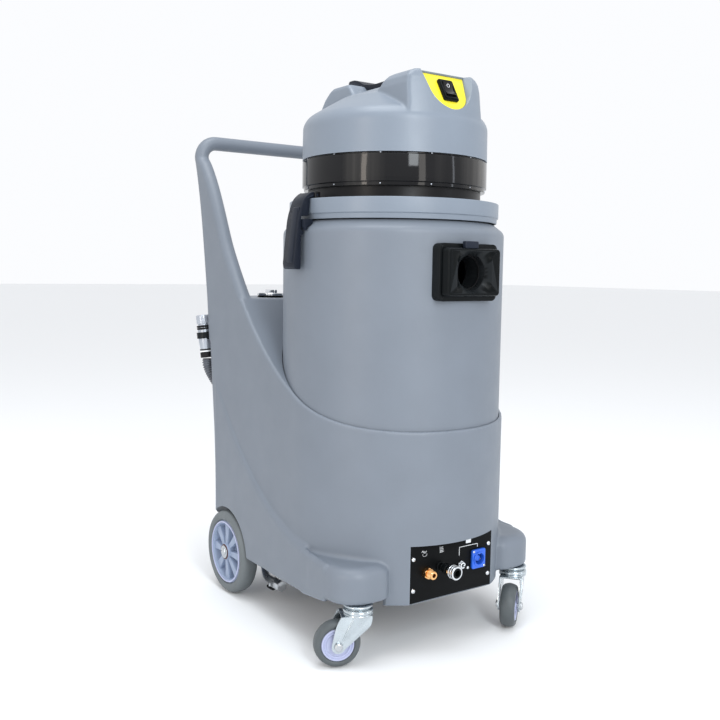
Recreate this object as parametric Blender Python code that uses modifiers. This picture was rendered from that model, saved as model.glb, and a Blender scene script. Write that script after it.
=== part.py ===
"""Carpet cleaner machine: a grey moulded extractor with a motor head, two tanks, casters and a push handle.

Metres, +Z up, the front faces -Y. Shapes are drawn about the barrel's upright axis, and one empty moves them
all so that the finished machine stands centred on the origin.
"""

import math

import bmesh
import bpy
from mathutils import Matrix, Vector

# ---------------------------------------------------------------- driving dimensions
GAP = 0.0003                     # left between pieces that touch

BARREL_X = 0.01065               # where the barrel's axis stands in the finished model
BARREL_Y = -0.09037

BODY_RADIUS = 0.1965             # front of the chassis, also its half width
BODY_BOTTOM = 0.086
BODY_WALL = 0.006
BAY_CEILING = 0.293
TANK_FLOOR = 0.300
DECK_Z = 0.5645
REAR_CORNER = 0.020
REAR_EDGE = [(0.313, BODY_BOTTOM), (0.3135, 0.160), (0.322, 0.310), (0.334, 0.430), (0.347, DECK_Z)]   # (y, z)
SEAM = [(-0.200, 0.3665), (-0.020, 0.3665), (0.131, 0.450), (0.266, 0.660)]   # Bezier, (y, z), side view

TANK_RADIUS = 0.191
TANK_WALL = 0.004
TANK_TOP = 0.6985
SHOULDER_Z = 0.6835
NECK_RADIUS = 0.172

RIM_RADIUS = 0.1806
RIM_LOW, RIM_HIGH = 0.7020, 0.7326
BAND_RADIUS = 0.1590
BAND_LOW, BAND_HIGH = 0.7518, 0.8035
COVER_EDGE = 0.862               # where the motor cover's wall ends and its shoulder starts

HANDLE_RADIUS = 0.0135
HANDLE_Y, HANDLE_Z = 0.388, 0.864
HANDLE_BEND = 0.030
ARM_FRONT = [(0.266, 0.660), (0.290, 0.700), (0.325, 0.790), (0.3745, 0.836)]   # Bezier, (y, z)
ARM_REAR = [(0.347, DECK_Z), (0.362, 0.660), (0.372, 0.750), (0.4015, 0.836)]

WHEEL_RADIUS = 0.0788
WHEEL_Y = 0.248
WHEEL_INNER, WHEEL_OUTER = 0.1704, 0.2044
ARCH_RADIUS, ARCH_Y, ARCH_Z = 0.086, 0.249, 0.0788

CASTER_X, CASTER_Y = 0.168, -0.1486
CASTER_RADIUS = 0.0375
CASTER_TRAIL = 0.033
CASTER_TURN = {"left": math.radians(155), "right": math.radians(218)}
LOBE_BOTTOM, LOBE_TOP = 0.101, 0.158
HEM = [(-0.220, 0.070), (0.020, 0.070), (0.020, 0.0862), (-0.040, 0.0890), (-0.100, 0.0965), (-0.150, 0.1006),
       (-0.220, 0.1006)]         # what is cut away under the sides so they rise to the caster feet (y, z)

PANEL_Y = -0.1763                # front face of the connector panel
PANEL_HALF = 0.0868
PANEL_LOW, PANEL_HIGH = 0.0885, 0.1828

INLET_Z = 0.6175                 # hose inlet's centre
INLET_BORE = 0.028

SLOPE = math.radians(30)         # how far the switch panel leans back
SWITCH_Y, SWITCH_Z = -0.1385, 0.9015


# ---------------------------------------------------------------- scene and helpers
for old in list(bpy.data.objects):
    bpy.data.objects.remove(old, do_unlink=True)

PARTS = bpy.data.collections.new("carpet_cleaner_machine")
CUTTERS = bpy.data.collections.new("cutters")
for group in (PARTS, CUTTERS):
    bpy.context.scene.collection.children.link(group)

MACHINE = bpy.data.objects.new("machine_frame", None)
MACHINE.location = (BARREL_X, BARREL_Y, 0.0)
PARTS.objects.link(MACHINE)


def make_material(name, colour, roughness, metallic=0.0):
    """A Principled material."""
    material = bpy.data.materials.new(name)
    material.use_nodes = True
    shader = material.node_tree.nodes["Principled BSDF"]
    shader.inputs["Base Color"].default_value = (*colour, 1.0)
    shader.inputs["Roughness"].default_value = roughness
    shader.inputs["Metallic"].default_value = metallic
    return material


GREY = make_material("moulded_grey", (0.26, 0.29, 0.34), 0.45)
BLACK = make_material("black_plastic", (0.012, 0.013, 0.016), 0.35)
GLOSS = make_material("gloss_black", (0.008, 0.008, 0.010), 0.08)
YELLOW = make_material("yellow_panel", (0.86, 0.72, 0.05), 0.35)
NAVY = make_material("latch_black", (0.015, 0.019, 0.030), 0.40)
RUBBER = make_material("grey_rubber", (0.10, 0.11, 0.12), 0.70)
HUB = make_material("hub_grey_blue", (0.33, 0.37, 0.50), 0.45)
LILAC = make_material("caster_hub", (0.50, 0.50, 0.68), 0.35)
ZINC = make_material("bright_zinc", (0.75, 0.78, 0.78), 0.25, 1.0)
STEEL = make_material("steel", (0.55, 0.56, 0.58), 0.30, 1.0)
BRASS = make_material("brass", (0.80, 0.42, 0.16), 0.25, 1.0)
BLUE = make_material("inlet_blue", (0.02, 0.11, 0.70), 0.35)
NATURAL = make_material("natural_plastic", (0.70, 0.70, 0.66), 0.45)
SEAL = make_material("seal_rubber", (0.03, 0.03, 0.03), 0.80)


def add(name, data, material=None, cutter=False):
    """Links an object, hangs it on the machine's frame and gives it its material."""
    item = bpy.data.objects.new(name, data)
    (CUTTERS if cutter else PARTS).objects.link(item)
    item.parent = MACHINE
    if cutter:
        item.hide_render = True
        item.display_type = "WIRE"
    if material:
        item.data.materials.append(material)
    return item


def from_bmesh(name, shape, material=None, cutter=False):
    mesh = bpy.data.meshes.new(name)
    bmesh.ops.recalc_face_normals(shape, faces=shape.faces)
    shape.to_mesh(mesh)
    shape.free()
    return add(name, mesh, material, cutter)


def smooth(item, angle=35):
    item.data.shade_smooth()
    item.data.set_sharp_from_angle(angle=math.radians(angle))
    return item


def box(name, low, high, material=None, cutter=False):
    """A block between two corners."""
    shape = bmesh.new()
    bmesh.ops.create_cube(shape, size=1.0)
    low, high = Vector(low), Vector(high)
    size, middle = high - low, (high + low) / 2
    bmesh.ops.transform(shape, matrix=Matrix.Translation(middle) @ Matrix.Diagonal((*size, 1.0)), verts=shape.verts)
    return from_bmesh(name, shape, material, cutter)


TURN = {"Z": Matrix.Identity(4), "X": Matrix.Rotation(math.pi / 2, 4, "Y"), "Y": Matrix.Rotation(-math.pi / 2, 4, "X")}


def rod(name, radius, low, high, axis="Z", centre=(0.0, 0.0), sides=24, material=None, cutter=False, cone=None):
    """A cylinder, or a cone where cone gives the far radius, along one axis from low to high."""
    shape = bmesh.new()
    bmesh.ops.create_cone(shape, cap_ends=True, segments=sides, radius1=radius,
                          radius2=radius if cone is None else cone, depth=high - low)
    bmesh.ops.translate(shape, vec=(0, 0, (high + low) / 2), verts=shape.verts)
    bmesh.ops.transform(shape, matrix=TURN[axis], verts=shape.verts)
    a, b = centre
    place = {"Z": (a, b, 0.0), "X": (0.0, a, b), "Y": (a, 0.0, b)}[axis]
    bmesh.ops.translate(shape, vec=place, verts=shape.verts)
    return from_bmesh(name, shape, material, cutter)


def turned(name, profile, steps=48, axis="Z", place=(0, 0, 0), closed=False, material=None, cutter=False):
    """A profile of (radius, height) points, down its outer side, turned with a Screw modifier."""
    mesh = bpy.data.meshes.new(name)
    count = len(profile)
    edges = [(i, (i + 1) % count) for i in range(count if closed else count - 1)]
    mesh.from_pydata([(r, 0.0, h) for r, h in profile], edges, [])
    item = add(name, mesh, material, cutter)
    screw = item.modifiers.new("turn", "SCREW")
    screw.steps = screw.render_steps = steps
    screw.use_merge_vertices = True
    screw.merge_threshold = 0.00001
    screw.use_smooth_shade = True
    item.matrix_basis = Matrix.Translation(place) @ TURN[axis]
    return item


def to_mesh(item):
    """Turns an evaluated curve into a welded mesh object of the same name and place."""
    bpy.context.view_layer.update()
    graph = bpy.context.evaluated_depsgraph_get()
    mesh = bpy.data.meshes.new_from_object(item.evaluated_get(graph))
    shape = bmesh.new()
    shape.from_mesh(mesh)
    bmesh.ops.remove_doubles(shape, verts=shape.verts, dist=0.00001)
    bmesh.ops.recalc_face_normals(shape, faces=shape.faces)
    shape.to_mesh(mesh)
    shape.free()
    name, home, place = item.name, item.users_collection[0], item.matrix_basis.copy()
    hidden = item.hide_render
    bpy.data.objects.remove(item)
    solid = bpy.data.objects.new(name, mesh)
    home.objects.link(solid)
    solid.parent = MACHINE
    solid.matrix_basis = place
    solid.hide_render = hidden
    solid.display_type = "WIRE" if hidden else "TEXTURED"
    return solid


SIDE_ON = Matrix(((0, 0, 1, 0), (1, 0, 0, 0), (0, 1, 0, 0), (0, 0, 0, 1)))     # outline (u, v) becomes (y, z), along X
FRONT_ON = Matrix(((1, 0, 0, 0), (0, 0, -1, 0), (0, 1, 0, 0), (0, 0, 0, 1)))   # outline (u, v) becomes (x, z), along -Y


def plate(name, outline, low, high, facing="Z", place=None, material=None, cutter=False):
    """A flat outline, as a filled 2D curve, extruded from low to high along Z, X (side on) or -Y (front on)."""
    curve = bpy.data.curves.new(name, "CURVE")
    curve.dimensions = "2D"
    curve.fill_mode = "BOTH"
    curve.extrude = (high - low) / 2
    spline = curve.splines.new("POLY")
    spline.points.add(len(outline) - 1)
    for point, (u, v) in zip(spline.points, outline):
        point.co = (u, v, 0.0, 1.0)
    spline.use_cyclic_u = True
    item = add(name, curve, material, cutter)
    turn = {"Z": Matrix.Identity(4), "X": SIDE_ON, "-Y": FRONT_ON}[facing]
    item.matrix_basis = (place or Matrix.Identity(4)) @ turn @ Matrix.Translation((0, 0, (low + high) / 2))
    return to_mesh(item)


def tube(name, points, radius, resolution=3, material=None, cutter=False):
    """A round tube or wire through points."""
    curve = bpy.data.curves.new(name, "CURVE")
    curve.dimensions = "3D"
    curve.bevel_depth = radius
    curve.bevel_resolution = resolution
    curve.use_fill_caps = True
    spline = curve.splines.new("POLY")
    spline.points.add(len(points) - 1)
    for point, place in zip(spline.points, points):
        point.co = (*place, 1.0)
    return to_mesh(add(name, curve, material, cutter))


def loft(name, rings, material=None, cutter=False):
    """A closed skin through rings of the same number of points, with flat ends."""
    shape = bmesh.new()
    rows = [[shape.verts.new(point) for point in ring] for ring in rings]
    for one, two in zip(rows, rows[1:]):
        for i in range(len(one)):
            j = (i + 1) % len(one)
            shape.faces.new((one[i], one[j], two[j], two[i]))
    shape.faces.new(rows[0])
    shape.faces.new(rows[-1])
    return from_bmesh(name, shape, material, cutter)


def combine(item, other, operation="DIFFERENCE"):
    """A Boolean with the exact solver. Joined shapes are guides, so they go in the cutters' collection."""
    step = item.modifiers.new(operation.lower(), "BOOLEAN")
    step.object = other
    step.operation = operation
    return item


def cut(item, *others):
    for other in others:
        combine(item, other)
    return item


def join(item, *others):
    for other in others:
        combine(item, other, "UNION")
    return item


def bevel(item, width, segments=1, angle=40):
    step = item.modifiers.new("rounded_edges", "BEVEL")
    step.width = width
    step.segments = segments
    step.limit_method = "ANGLE"
    step.angle_limit = math.radians(angle)
    step.harden_normals = False
    return item


def bezier(points, steps):
    """Points along a cubic Bezier in two dimensions."""
    line = []
    for i in range(steps + 1):
        t = i / steps
        weights = ((1 - t) ** 3, 3 * t * (1 - t) ** 2, 3 * t * t * (1 - t), t ** 3)
        line.append(tuple(sum(w * p[k] for w, p in zip(weights, points)) for k in (0, 1)))
    return line


def y_at(line, height):
    """Where a rising line of (y, z) points reaches a height."""
    for (y0, z0), (y1, z1) in zip(line, line[1:]):
        if z0 <= height <= z1:
            return y0 + (y1 - y0) * (height - z0) / (z1 - z0)
    return line[-1][0] if height > line[-1][1] else line[0][0]


def arc(centre, radius, start, end, steps):
    """Points on an arc, with its angles in degrees."""
    turn = [math.radians(start + (end - start) * i / steps) for i in range(steps + 1)]
    return [(centre[0] + radius * math.cos(a), centre[1] + radius * math.sin(a)) for a in turn]


def rounded_rectangle(low, high, radius, steps=3):
    (x0, y0), (x1, y1) = low, high
    corners = [((x1 - radius, y0 + radius), -90), ((x1 - radius, y1 - radius), 0),
               ((x0 + radius, y1 - radius), 90), ((x0 + radius, y0 + radius), 180)]
    return [p for centre, start in corners for p in arc(centre, radius, start, start + 90, steps)]


def mirrored(outline, side):
    """An outline drawn for the -X side, or flipped to the +X side."""
    return outline if side == "left" else [(-x, y) for x, y in outline]


SIDES = (("left", -1), ("right", 1))


# ---------------------------------------------------------------- chassis
def plan(rear, inset=0.0, steps=18):
    """The chassis's outline from above: round at the front, square with round corners at the rear."""
    radius = BODY_RADIUS - inset
    corner = REAR_CORNER - inset * 0.5
    back = rear - inset
    front = arc((0, 0), radius, 180, 360, steps)
    right = arc((radius - corner, back - corner), corner, 0, 90, 4)
    left = arc((-radius + corner, back - corner), corner, 90, 180, 4)
    return front + right + left


def chassis_block(name, low, high, inset, cutter):
    heights = [low] + [z for _, z in REAR_EDGE if low < z < high] + [high]
    rings = [[(x, y, z) for x, y in plan(y_at(REAR_EDGE, z), inset)] for z in heights]
    return loft(name, rings, None if cutter else GREY, cutter)


def above_seam(name, drop):
    """Everything above the line where the chassis wraps round the barrel, lowered by drop."""
    line = [(y, z - drop) for y, z in bezier(SEAM, 14) if z < DECK_Z + 0.012]
    outline = [(-0.300, line[0][1])] + line + [(line[-1][0], 0.700), (-0.300, 0.700)]
    return plate(name, outline, -0.250, 0.250, "X", cutter=True)


def wheel_well(name, radius, inner, sign):
    low, high = sorted((sign * inner, sign * 0.230))
    return rod(name, radius, low, high, "X", (ARCH_Y, ARCH_Z), 32, cutter=True)


def make_lobe(side, sign):
    """The rounded foot over a caster."""
    outer, front, inner, rear = 0.207, -0.1690, 0.118, -0.030
    corner = 0.047
    outline = arc((outer - corner, front + corner), corner, -90, 0, 5)
    outline += [(outer, rear), (inner, rear)] + arc((inner + 0.015, front + 0.015), 0.015, 180, 270, 2)
    outline = [(sign * x, y) for x, y in outline]
    lobe = plate(f"lobe_{side}", outline, LOBE_BOTTOM, LOBE_TOP, "Z", cutter=True)
    return bevel(lobe, 0.014, 3, 60)


def make_flare(side, sign):
    """The skirt below the diagonal crease on each side, proud of the wall at its front."""
    crease = bezier([(0.300, 0.405), (0.190, 0.270), (0.080, 0.165), (-0.110, 0.1555)], 8)
    outline = [(0.3000, BODY_BOTTOM + 0.002)] + crease + [(-0.110, BODY_BOTTOM + 0.006)]
    tilt = Matrix.Translation((sign * BODY_RADIUS, 0.300, 0)) @ Matrix.Rotation(sign * math.radians(1.35), 4, "Z")
    place = tilt @ Matrix.Translation((0, -0.300, 0))
    low, high = sorted((-sign * 0.004, 0.0))
    return plate(f"flare_{side}", outline, low, high, "X", place, cutter=True)


def make_chassis():
    shell = chassis_block("chassis_shell", BODY_BOTTOM, DECK_Z, 0.0, False)
    for side, sign in SIDES:
        join(shell, make_flare(side, sign), make_lobe(side, sign))
        hem = plate(f"hem_{side}", HEM, *sorted((sign * 0.1195, sign * 0.2300)), "X", cutter=True)
        cut(shell, hem)
    barrel = rod("barrel_recess", TANK_RADIUS + 0.0015, TANK_FLOOR, 0.700, sides=48, cutter=True)
    cut(shell, above_seam("above_seam", 0.0), barrel)

    bay = chassis_block("machine_bay", 0.060, BAY_CEILING, BODY_WALL, True)
    panel_wall = box("panel_wall", (-0.100, -0.250, 0.050), (0.100, -0.166, 0.195), cutter=True)
    cut(bay, panel_wall)
    for side, sign in SIDES:
        cut(bay, wheel_well(f"well_wall_{side}", ARCH_RADIUS + 0.005, 0.155, sign))
        cut(shell, wheel_well(f"arch_{side}", ARCH_RADIUS, 0.160, sign))

    inside = BODY_RADIUS - BODY_WALL
    wrap = TANK_RADIUS + 0.007
    start = math.degrees(math.acos(inside / wrap))
    rear = y_at(REAR_EDGE, TANK_FLOOR) - BODY_WALL
    outline = arc((0, 0), wrap, start, 180 - start, 16) + [(-inside, rear), (inside, rear)]
    cavity = plate("tank_room", outline, TANK_FLOOR, DECK_Z - 0.006, "Z", cutter=True)
    cut(cavity, above_seam("below_seam", 0.009))
    cut(shell, bay, cavity)

    recess = box("panel_recess", (-PANEL_HALF - GAP, -0.250, 0.080),
                 (PANEL_HALF + GAP, PANEL_Y + 0.0028, PANEL_HIGH + GAP), cutter=True)
    window = box("panel_window", (-0.074, -0.190, 0.100), (0.074, -0.150, 0.172), cutter=True)
    axle_hole = rod("axle_hole", 0.0085, -0.170, 0.170, "X", (WHEEL_Y, WHEEL_RADIUS), 16, cutter=True)
    suction = rod("suction_hole", 0.012, 0.280, 0.310, "Z", (0.0, 0.262), 16, cutter=True)
    filler = rod("filler_hole", 0.0265, 0.540, 0.580, "Z", FILLER, 24, cutter=True)
    drain = rod("drain_bore", 0.0140, 0.060, 0.380, "Y", DRAIN, 16, cutter=True)
    valve = rod("valve_hole", 0.0095, 0.280, 0.310, "Z", (VALVE_X, VALVE_Y), 16, cutter=True)
    cut(shell, recess, window, axle_hole, suction, filler, drain, valve)
    return drain


FILLER = (-0.105, 0.246)         # filler neck, from above
DRAIN = (-0.150, 0.330)          # recovery tank's outlet, x and z
VALVE_X, VALVE_Y = -0.143, 0.200


def make_handle():
    """Two arms that rise from the deck, narrow into tubes and meet in a cross bar."""
    front = bezier(SEAM, 24) + bezier(ARM_FRONT, 12)[1:]
    rear = bezier(ARM_REAR, 16)
    reach = BODY_RADIUS - HANDLE_RADIUS
    sides = 12

    def stadium(x, low, high, z, flip):
        """A slot shape in plan, whose long way is Y."""
        ring = []
        for i in range(sides):
            a = 2 * math.pi * (i + 0.5) / sides
            end = high - HANDLE_RADIUS if math.sin(a) > 0 else low + HANDLE_RADIUS
            ring.append((x + flip * HANDLE_RADIUS * math.cos(a), end + HANDLE_RADIUS * math.sin(a), z))
        return ring

    def bend(centre_x, centre_z, angle):
        """A round section on the way from upright to level; the angle runs from 0 to 180 over the whole top."""
        ring = []
        for i in range(sides):
            a = 2 * math.pi * (i + 0.5) / sides
            out = HANDLE_RADIUS * math.cos(a)
            ring.append((centre_x + out * math.cos(angle), HANDLE_Y + HANDLE_RADIUS * math.sin(a),
                         centre_z - out * math.sin(angle)))
        return ring

    top = HANDLE_Z - HANDLE_BEND
    heights = [DECK_Z + GAP, 0.600, 0.640, 0.680, 0.720, 0.760, 0.795, 0.818]
    rings = [stadium(-reach, y_at(front, z), y_at(rear, z), z, 1) for z in heights]
    corner = reach - HANDLE_BEND
    for i in range(5):
        a = math.radians(90 * i / 4)
        rings.append(bend(-corner - HANDLE_BEND * math.cos(a), top + HANDLE_BEND * math.sin(a), a))
    for i in range(5):
        a = math.radians(90 + 90 * i / 4)
        rings.append(bend(corner - HANDLE_BEND * math.cos(a), top + HANDLE_BEND * math.sin(a), a))
    rings += [stadium(reach, y_at(front, z), y_at(rear, z), z, -1) for z in reversed(heights)]
    return smooth(loft("push_handle", rings, GREY))


# ---------------------------------------------------------------- tanks
def make_recovery_tank(drain):
    inner = TANK_RADIUS - TANK_WALL
    profile = [(0.0, 0.3075), (inner - 0.006, 0.3075), (inner, 0.3130), (inner, SHOULDER_Z - 0.002),
               (NECK_RADIUS - 0.0045, TANK_TOP - 0.003), (NECK_RADIUS - 0.0045, TANK_TOP),
               (NECK_RADIUS, TANK_TOP), (NECK_RADIUS + 0.001, TANK_TOP - 0.002), (TANK_RADIUS, SHOULDER_Z),
               (TANK_RADIUS, 0.3090), (TANK_RADIUS - 0.006, TANK_FLOOR + 0.0035), (0.0, TANK_FLOOR + 0.0035)]
    tank = turned("recovery_tank", profile, 48, material=GREY)
    mouth = rod("inlet_hole", 0.0325, -0.230, -0.150, "Y", (0.0, INLET_Z), 24, cutter=True)
    return cut(tank, mouth, drain)


def make_solution_tank():
    """The clean water tank behind the barrel, with its filler neck up through the deck."""
    half, front, back, low, high = 0.1345, 0.2045, 0.305, 0.3005, 0.5540
    tank = bevel(box("solution_tank", (-half, front, low), (half, back, high), NATURAL), 0.004, 1)
    neck = rod("filler_neck", 0.0235, high - 0.0015, DECK_Z + 0.0035, "Z", FILLER, 24, cutter=True)
    hollow = box("tank_hollow", (-half + 0.003, front + 0.003, low + 0.003),
                 (half - 0.003, back - 0.003, high - 0.003), cutter=True)
    mouth = rod("filler_mouth", 0.0205, high - 0.0075, DECK_Z + 0.020, "Z", FILLER, 24, cutter=True)
    return cut(join(tank, neck), hollow, mouth)


def make_filler_cap():
    """A flanged lid that plugs the neck, with a grip bar across its top."""
    x, y = FILLER
    top = DECK_Z + 0.0038
    profile = [(0.0, top + 0.0055), (0.0225, top + 0.0055), (0.0265, top + 0.0040), (0.0265, top),
               (0.0200, top), (0.0190, top - 0.010), (0.0, top - 0.010)]
    cap = turned("filler_cap", profile, 24, place=(x, y, 0), material=STEEL)
    grip = box("cap_grip", (x - 0.0035, y - 0.018, top + 0.004), (x + 0.0035, y + 0.018, top + 0.0110), cutter=True)
    return join(cap, grip)


# ---------------------------------------------------------------- rear wheels
def make_axle():
    return smooth(rod("rear_axle", 0.0065, -WHEEL_OUTER + 0.001, WHEEL_OUTER - 0.001, "X",
                      (WHEEL_Y, WHEEL_RADIUS), 16, material=STEEL))


def make_rear_wheel(side, sign):
    width = (WHEEL_OUTER - WHEEL_INNER) / 2
    middle = (WHEEL_OUTER + WHEEL_INNER) / 2
    place = (sign * middle, WHEEL_Y, WHEEL_RADIUS)
    rim = 0.0595
    tread = [(rim + GAP, width - 0.003), (0.0650, width), (0.0735, width - 0.0015), (0.0778, width - 0.007),
             (WHEEL_RADIUS, 0.004)]
    tyre = tread + [(r, -h) for r, h in reversed(tread)]
    turned(f"rear_tyre_{side}", tyre, 32, "X", place, closed=True, material=RUBBER)
    half = [(0.0072, width), (0.0150, width), (0.0160, width - 0.004), (0.0165, 0.0050), (0.0480, 0.0050),
            (0.0520, width - 0.004), (0.0575, width - 0.002), (rim, width - 0.004)]
    hub = half + [(r, -h) for r, h in reversed(half)]
    turned(f"rear_hub_{side}", hub, 32, "X", place, closed=True, material=HUB)
    cap = [(0.0, 0.0030), (0.0105, 0.0030), (0.0125, 0.0015), (0.0125, 0.0), (0.0, 0.0)]
    low = sign * (WHEEL_OUTER + GAP)
    item = turned(f"axle_cap_{side}", cap, 20, "X", (0, 0, 0), material=STEEL)
    item.matrix_basis = Matrix.Translation((low, WHEEL_Y, WHEEL_RADIUS)) @ Matrix.Rotation(sign * math.pi / 2, 4, "Y")


# ---------------------------------------------------------------- casters
def make_caster(side, sign):
    """King-pin mount, pressed fork, axle bolt, hub and tyre. Drawn with its trail along +X, then turned."""
    place = Matrix.Translation((sign * CASTER_X, CASTER_Y, 0)) @ Matrix.Rotation(CASTER_TURN[side], 4, "Z")
    top = LOBE_BOTTOM - GAP
    mount = [(0.0, top), (0.0235, top), (0.0240, top - 0.003), (0.0235, 0.0938), (0.0062, 0.0938), (0.0062, 0.0815),
             (0.0100, 0.0815), (0.0090, 0.0785), (0.0, 0.0785)]
    turned(f"caster_mount_{side}", mount, 24, material=ZINC).matrix_basis = place

    crown = [(0.0070, 0.0934), (0.0238, 0.0934), (0.0246, 0.0905), (0.0235, 0.0830), (0.0070, 0.0830)]
    fork = turned(f"caster_fork_{side}", crown, 24, closed=True, material=ZINC)
    fork.matrix_basis = place
    roof = box(f"fork_roof_{side}", (-0.0180, -0.0190, 0.0822), (0.0260, 0.0190, 0.0848), cutter=True)
    roof.matrix_basis = place
    hole = rod(f"pin_hole_{side}", 0.0070, 0.070, 0.099, sides=24, cutter=True)
    hole.matrix_basis = place
    leg = [(-0.0180, 0.0848), (-0.0175, 0.0740)] + arc((CASTER_TRAIL, CASTER_RADIUS), 0.0105, 200, 380, 6)
    leg += [(0.0330, 0.0720), (0.0260, 0.0848)]
    parts = [roof]
    for name, low in (("near", -0.0190), ("far", 0.0165)):
        slab = plate(f"fork_leg_{name}_{side}", leg, low, low + 0.0025, "Z", cutter=True)
        slab.matrix_basis = place @ Matrix.Rotation(math.pi / 2, 4, "X") @ Matrix.Translation((0, 0, -2 * low - 0.0025))
        slab.matrix_basis = place @ Matrix(((1, 0, 0, 0), (0, 0, 1, 0), (0, 1, 0, 0), (0, 0, 0, 1)))
        slab.matrix_basis = slab.matrix_basis @ Matrix.Translation((0, 0, low + 0.00125))
        parts.append(slab)
    bore = rod(f"fork_bore_{side}", 0.0043, -0.030, 0.030, "Y", (CASTER_TRAIL, CASTER_RADIUS), 16, cutter=True)
    bore.matrix_basis = place
    cut(join(fork, *parts), hole, bore)

    bolt = [(0.0, 0.0238), (0.0068, 0.0238), (0.0068, 0.0193), (0.0038, 0.0193), (0.0038, -0.0193),
            (0.0062, -0.0193), (0.0062, -0.0240), (0.0, -0.0240)]
    wheel_place = place @ Matrix.Translation((CASTER_TRAIL, 0, CASTER_RADIUS)) @ TURN["Y"]
    turned(f"caster_axle_{side}", bolt, 12, material=STEEL).matrix_basis = wheel_place
    hub = [(0.0044, 0.0135), (0.0080, 0.0135), (0.0090, 0.0105), (0.0190, 0.0105), (0.0205, 0.0125), (0.0260, 0.0115)]
    hub = hub + [(r, -h) for r, h in reversed(hub)]
    turned(f"caster_hub_{side}", hub, 24, closed=True, material=LILAC).matrix_basis = wheel_place
    tread = [(0.0263, 0.0118), (0.0300, 0.0130), (0.0345, 0.0105), (0.0368, 0.0060), (CASTER_RADIUS, 0.0015)]
    tyre = tread + [(r, -h) for r, h in reversed(tread)]
    turned(f"caster_tyre_{side}", tyre, 24, closed=True, material=RUBBER).matrix_basis = wheel_place


# ---------------------------------------------------------------- connector panel
BRASS_AT = (-0.055, 0.136)       # (x, z) of each connector
COUPLER_AT = (-0.026, 0.141)
TOGGLE_AT = (0.018, 0.1355)
POWER_AT = (0.0555, 0.140)
SCREW_X, SCREW_Z = 0.0805, (0.1090, 0.1610)


def forward(item, x, z):
    """Stands a piece turned about Z on the panel, with its height running out towards -Y."""
    item.matrix_basis = Matrix.Translation((x, PANEL_Y, z)) @ Matrix.Rotation(math.pi / 2, 4, "X")
    return item


def panel_hole(name, radius, at, sides=16):
    return rod(name, radius, PANEL_Y - 0.010, PANEL_Y + 0.010, "Y", at, sides, cutter=True)


def make_panel():
    panel = box("connector_panel", (-PANEL_HALF, PANEL_Y, PANEL_LOW), (PANEL_HALF, PANEL_Y + 0.0025, PANEL_HIGH), BLACK)
    cut(panel, panel_hole("brass_hole", 0.0062, BRASS_AT), panel_hole("coupler_hole", 0.0062, COUPLER_AT),
        panel_hole("toggle_hole", 0.0050, TOGGLE_AT), panel_hole("power_hole", 0.0125, POWER_AT, 20))
    count = 0
    for x in (-SCREW_X, SCREW_X):
        for z in SCREW_Z:
            count += 1
            head = [(0.0, 0.0024), (0.0022, 0.0022), (0.0036, 0.0012), (0.0038, GAP), (0.0, GAP)]
            forward(turned(f"panel_screw_{count}", head, 12, material=STEEL), x, z)


def hexagon(name, radius, low, high, at, cutter=True):
    nut = rod(name, radius, low, high, "Z", sides=6, cutter=cutter)
    return forward(nut, *at)


def make_brass_outlet():
    """Male outlet: a nut against the panel, a threaded spigot and a stem through the panel, bored through."""
    profile = [(0.0035, 0.0210), (0.0062, 0.0210), (0.0070, 0.0200), (0.0070, 0.0100), (0.0056, 0.0100),
               (0.0056, -0.0120), (0.0035, -0.0120)]
    outlet = forward(turned("brass_outlet", profile, 12, closed=True, material=BRASS), *BRASS_AT)
    nut = hexagon("brass_nut", 0.0098, GAP, 0.0095, BRASS_AT)
    bore = forward(rod("brass_bore", 0.0035, -0.020, 0.030, sides=12, cutter=True), *BRASS_AT)
    return cut(join(outlet, nut), bore)


def make_coupler():
    """Female quick coupler: a long stem with a sprung collar near its mouth."""
    profile = [(0.0052, 0.0440), (0.0080, 0.0440), (0.0080, 0.0225), (0.0090, 0.0215), (0.0090, 0.0150),
               (0.0065, 0.0140), (0.0065, 0.0040), (0.0085, 0.0035), (0.0085, GAP), (0.0056, GAP), (0.0056, -0.0120),
               (0.0030, -0.0120), (0.0030, 0.0200), (0.0052, 0.0210)]
    forward(turned("coupler_body", profile, 16, closed=True, material=BLACK), *COUPLER_AT)
    collar = [(0.0084, 0.0435), (0.0105, 0.0435), (0.0112, 0.0425), (0.0112, 0.0400), (0.0104, 0.0392),
              (0.0104, 0.0340), (0.0112, 0.0332), (0.0112, 0.0285), (0.0084, 0.0285)]
    forward(turned("coupler_collar", collar, 16, closed=True, material=STEEL), *COUPLER_AT)


def make_power_inlet():
    """Blue mains inlet: a flange with a round socket, open at the front."""
    x, z = POWER_AT
    low, high = (x - 0.0145, z - 0.0162), (x + 0.0145, z + 0.0162)
    inlet = plate("power_inlet", rounded_rectangle(low, high, 0.003, 2), -PANEL_Y + GAP, -PANEL_Y + 0.0050, "-Y",
                  material=BLUE)
    barrel = forward(rod("inlet_barrel", 0.0118, -0.0200, 0.0070, sides=20, cutter=True), x, z)
    mouth = forward(rod("inlet_mouth", 0.0098, -0.0140, 0.0100, sides=20, cutter=True), x, z)
    inlet.data.materials.clear()
    inlet.data.materials.append(BLUE)
    return cut(join(inlet, barrel), mouth)


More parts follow.
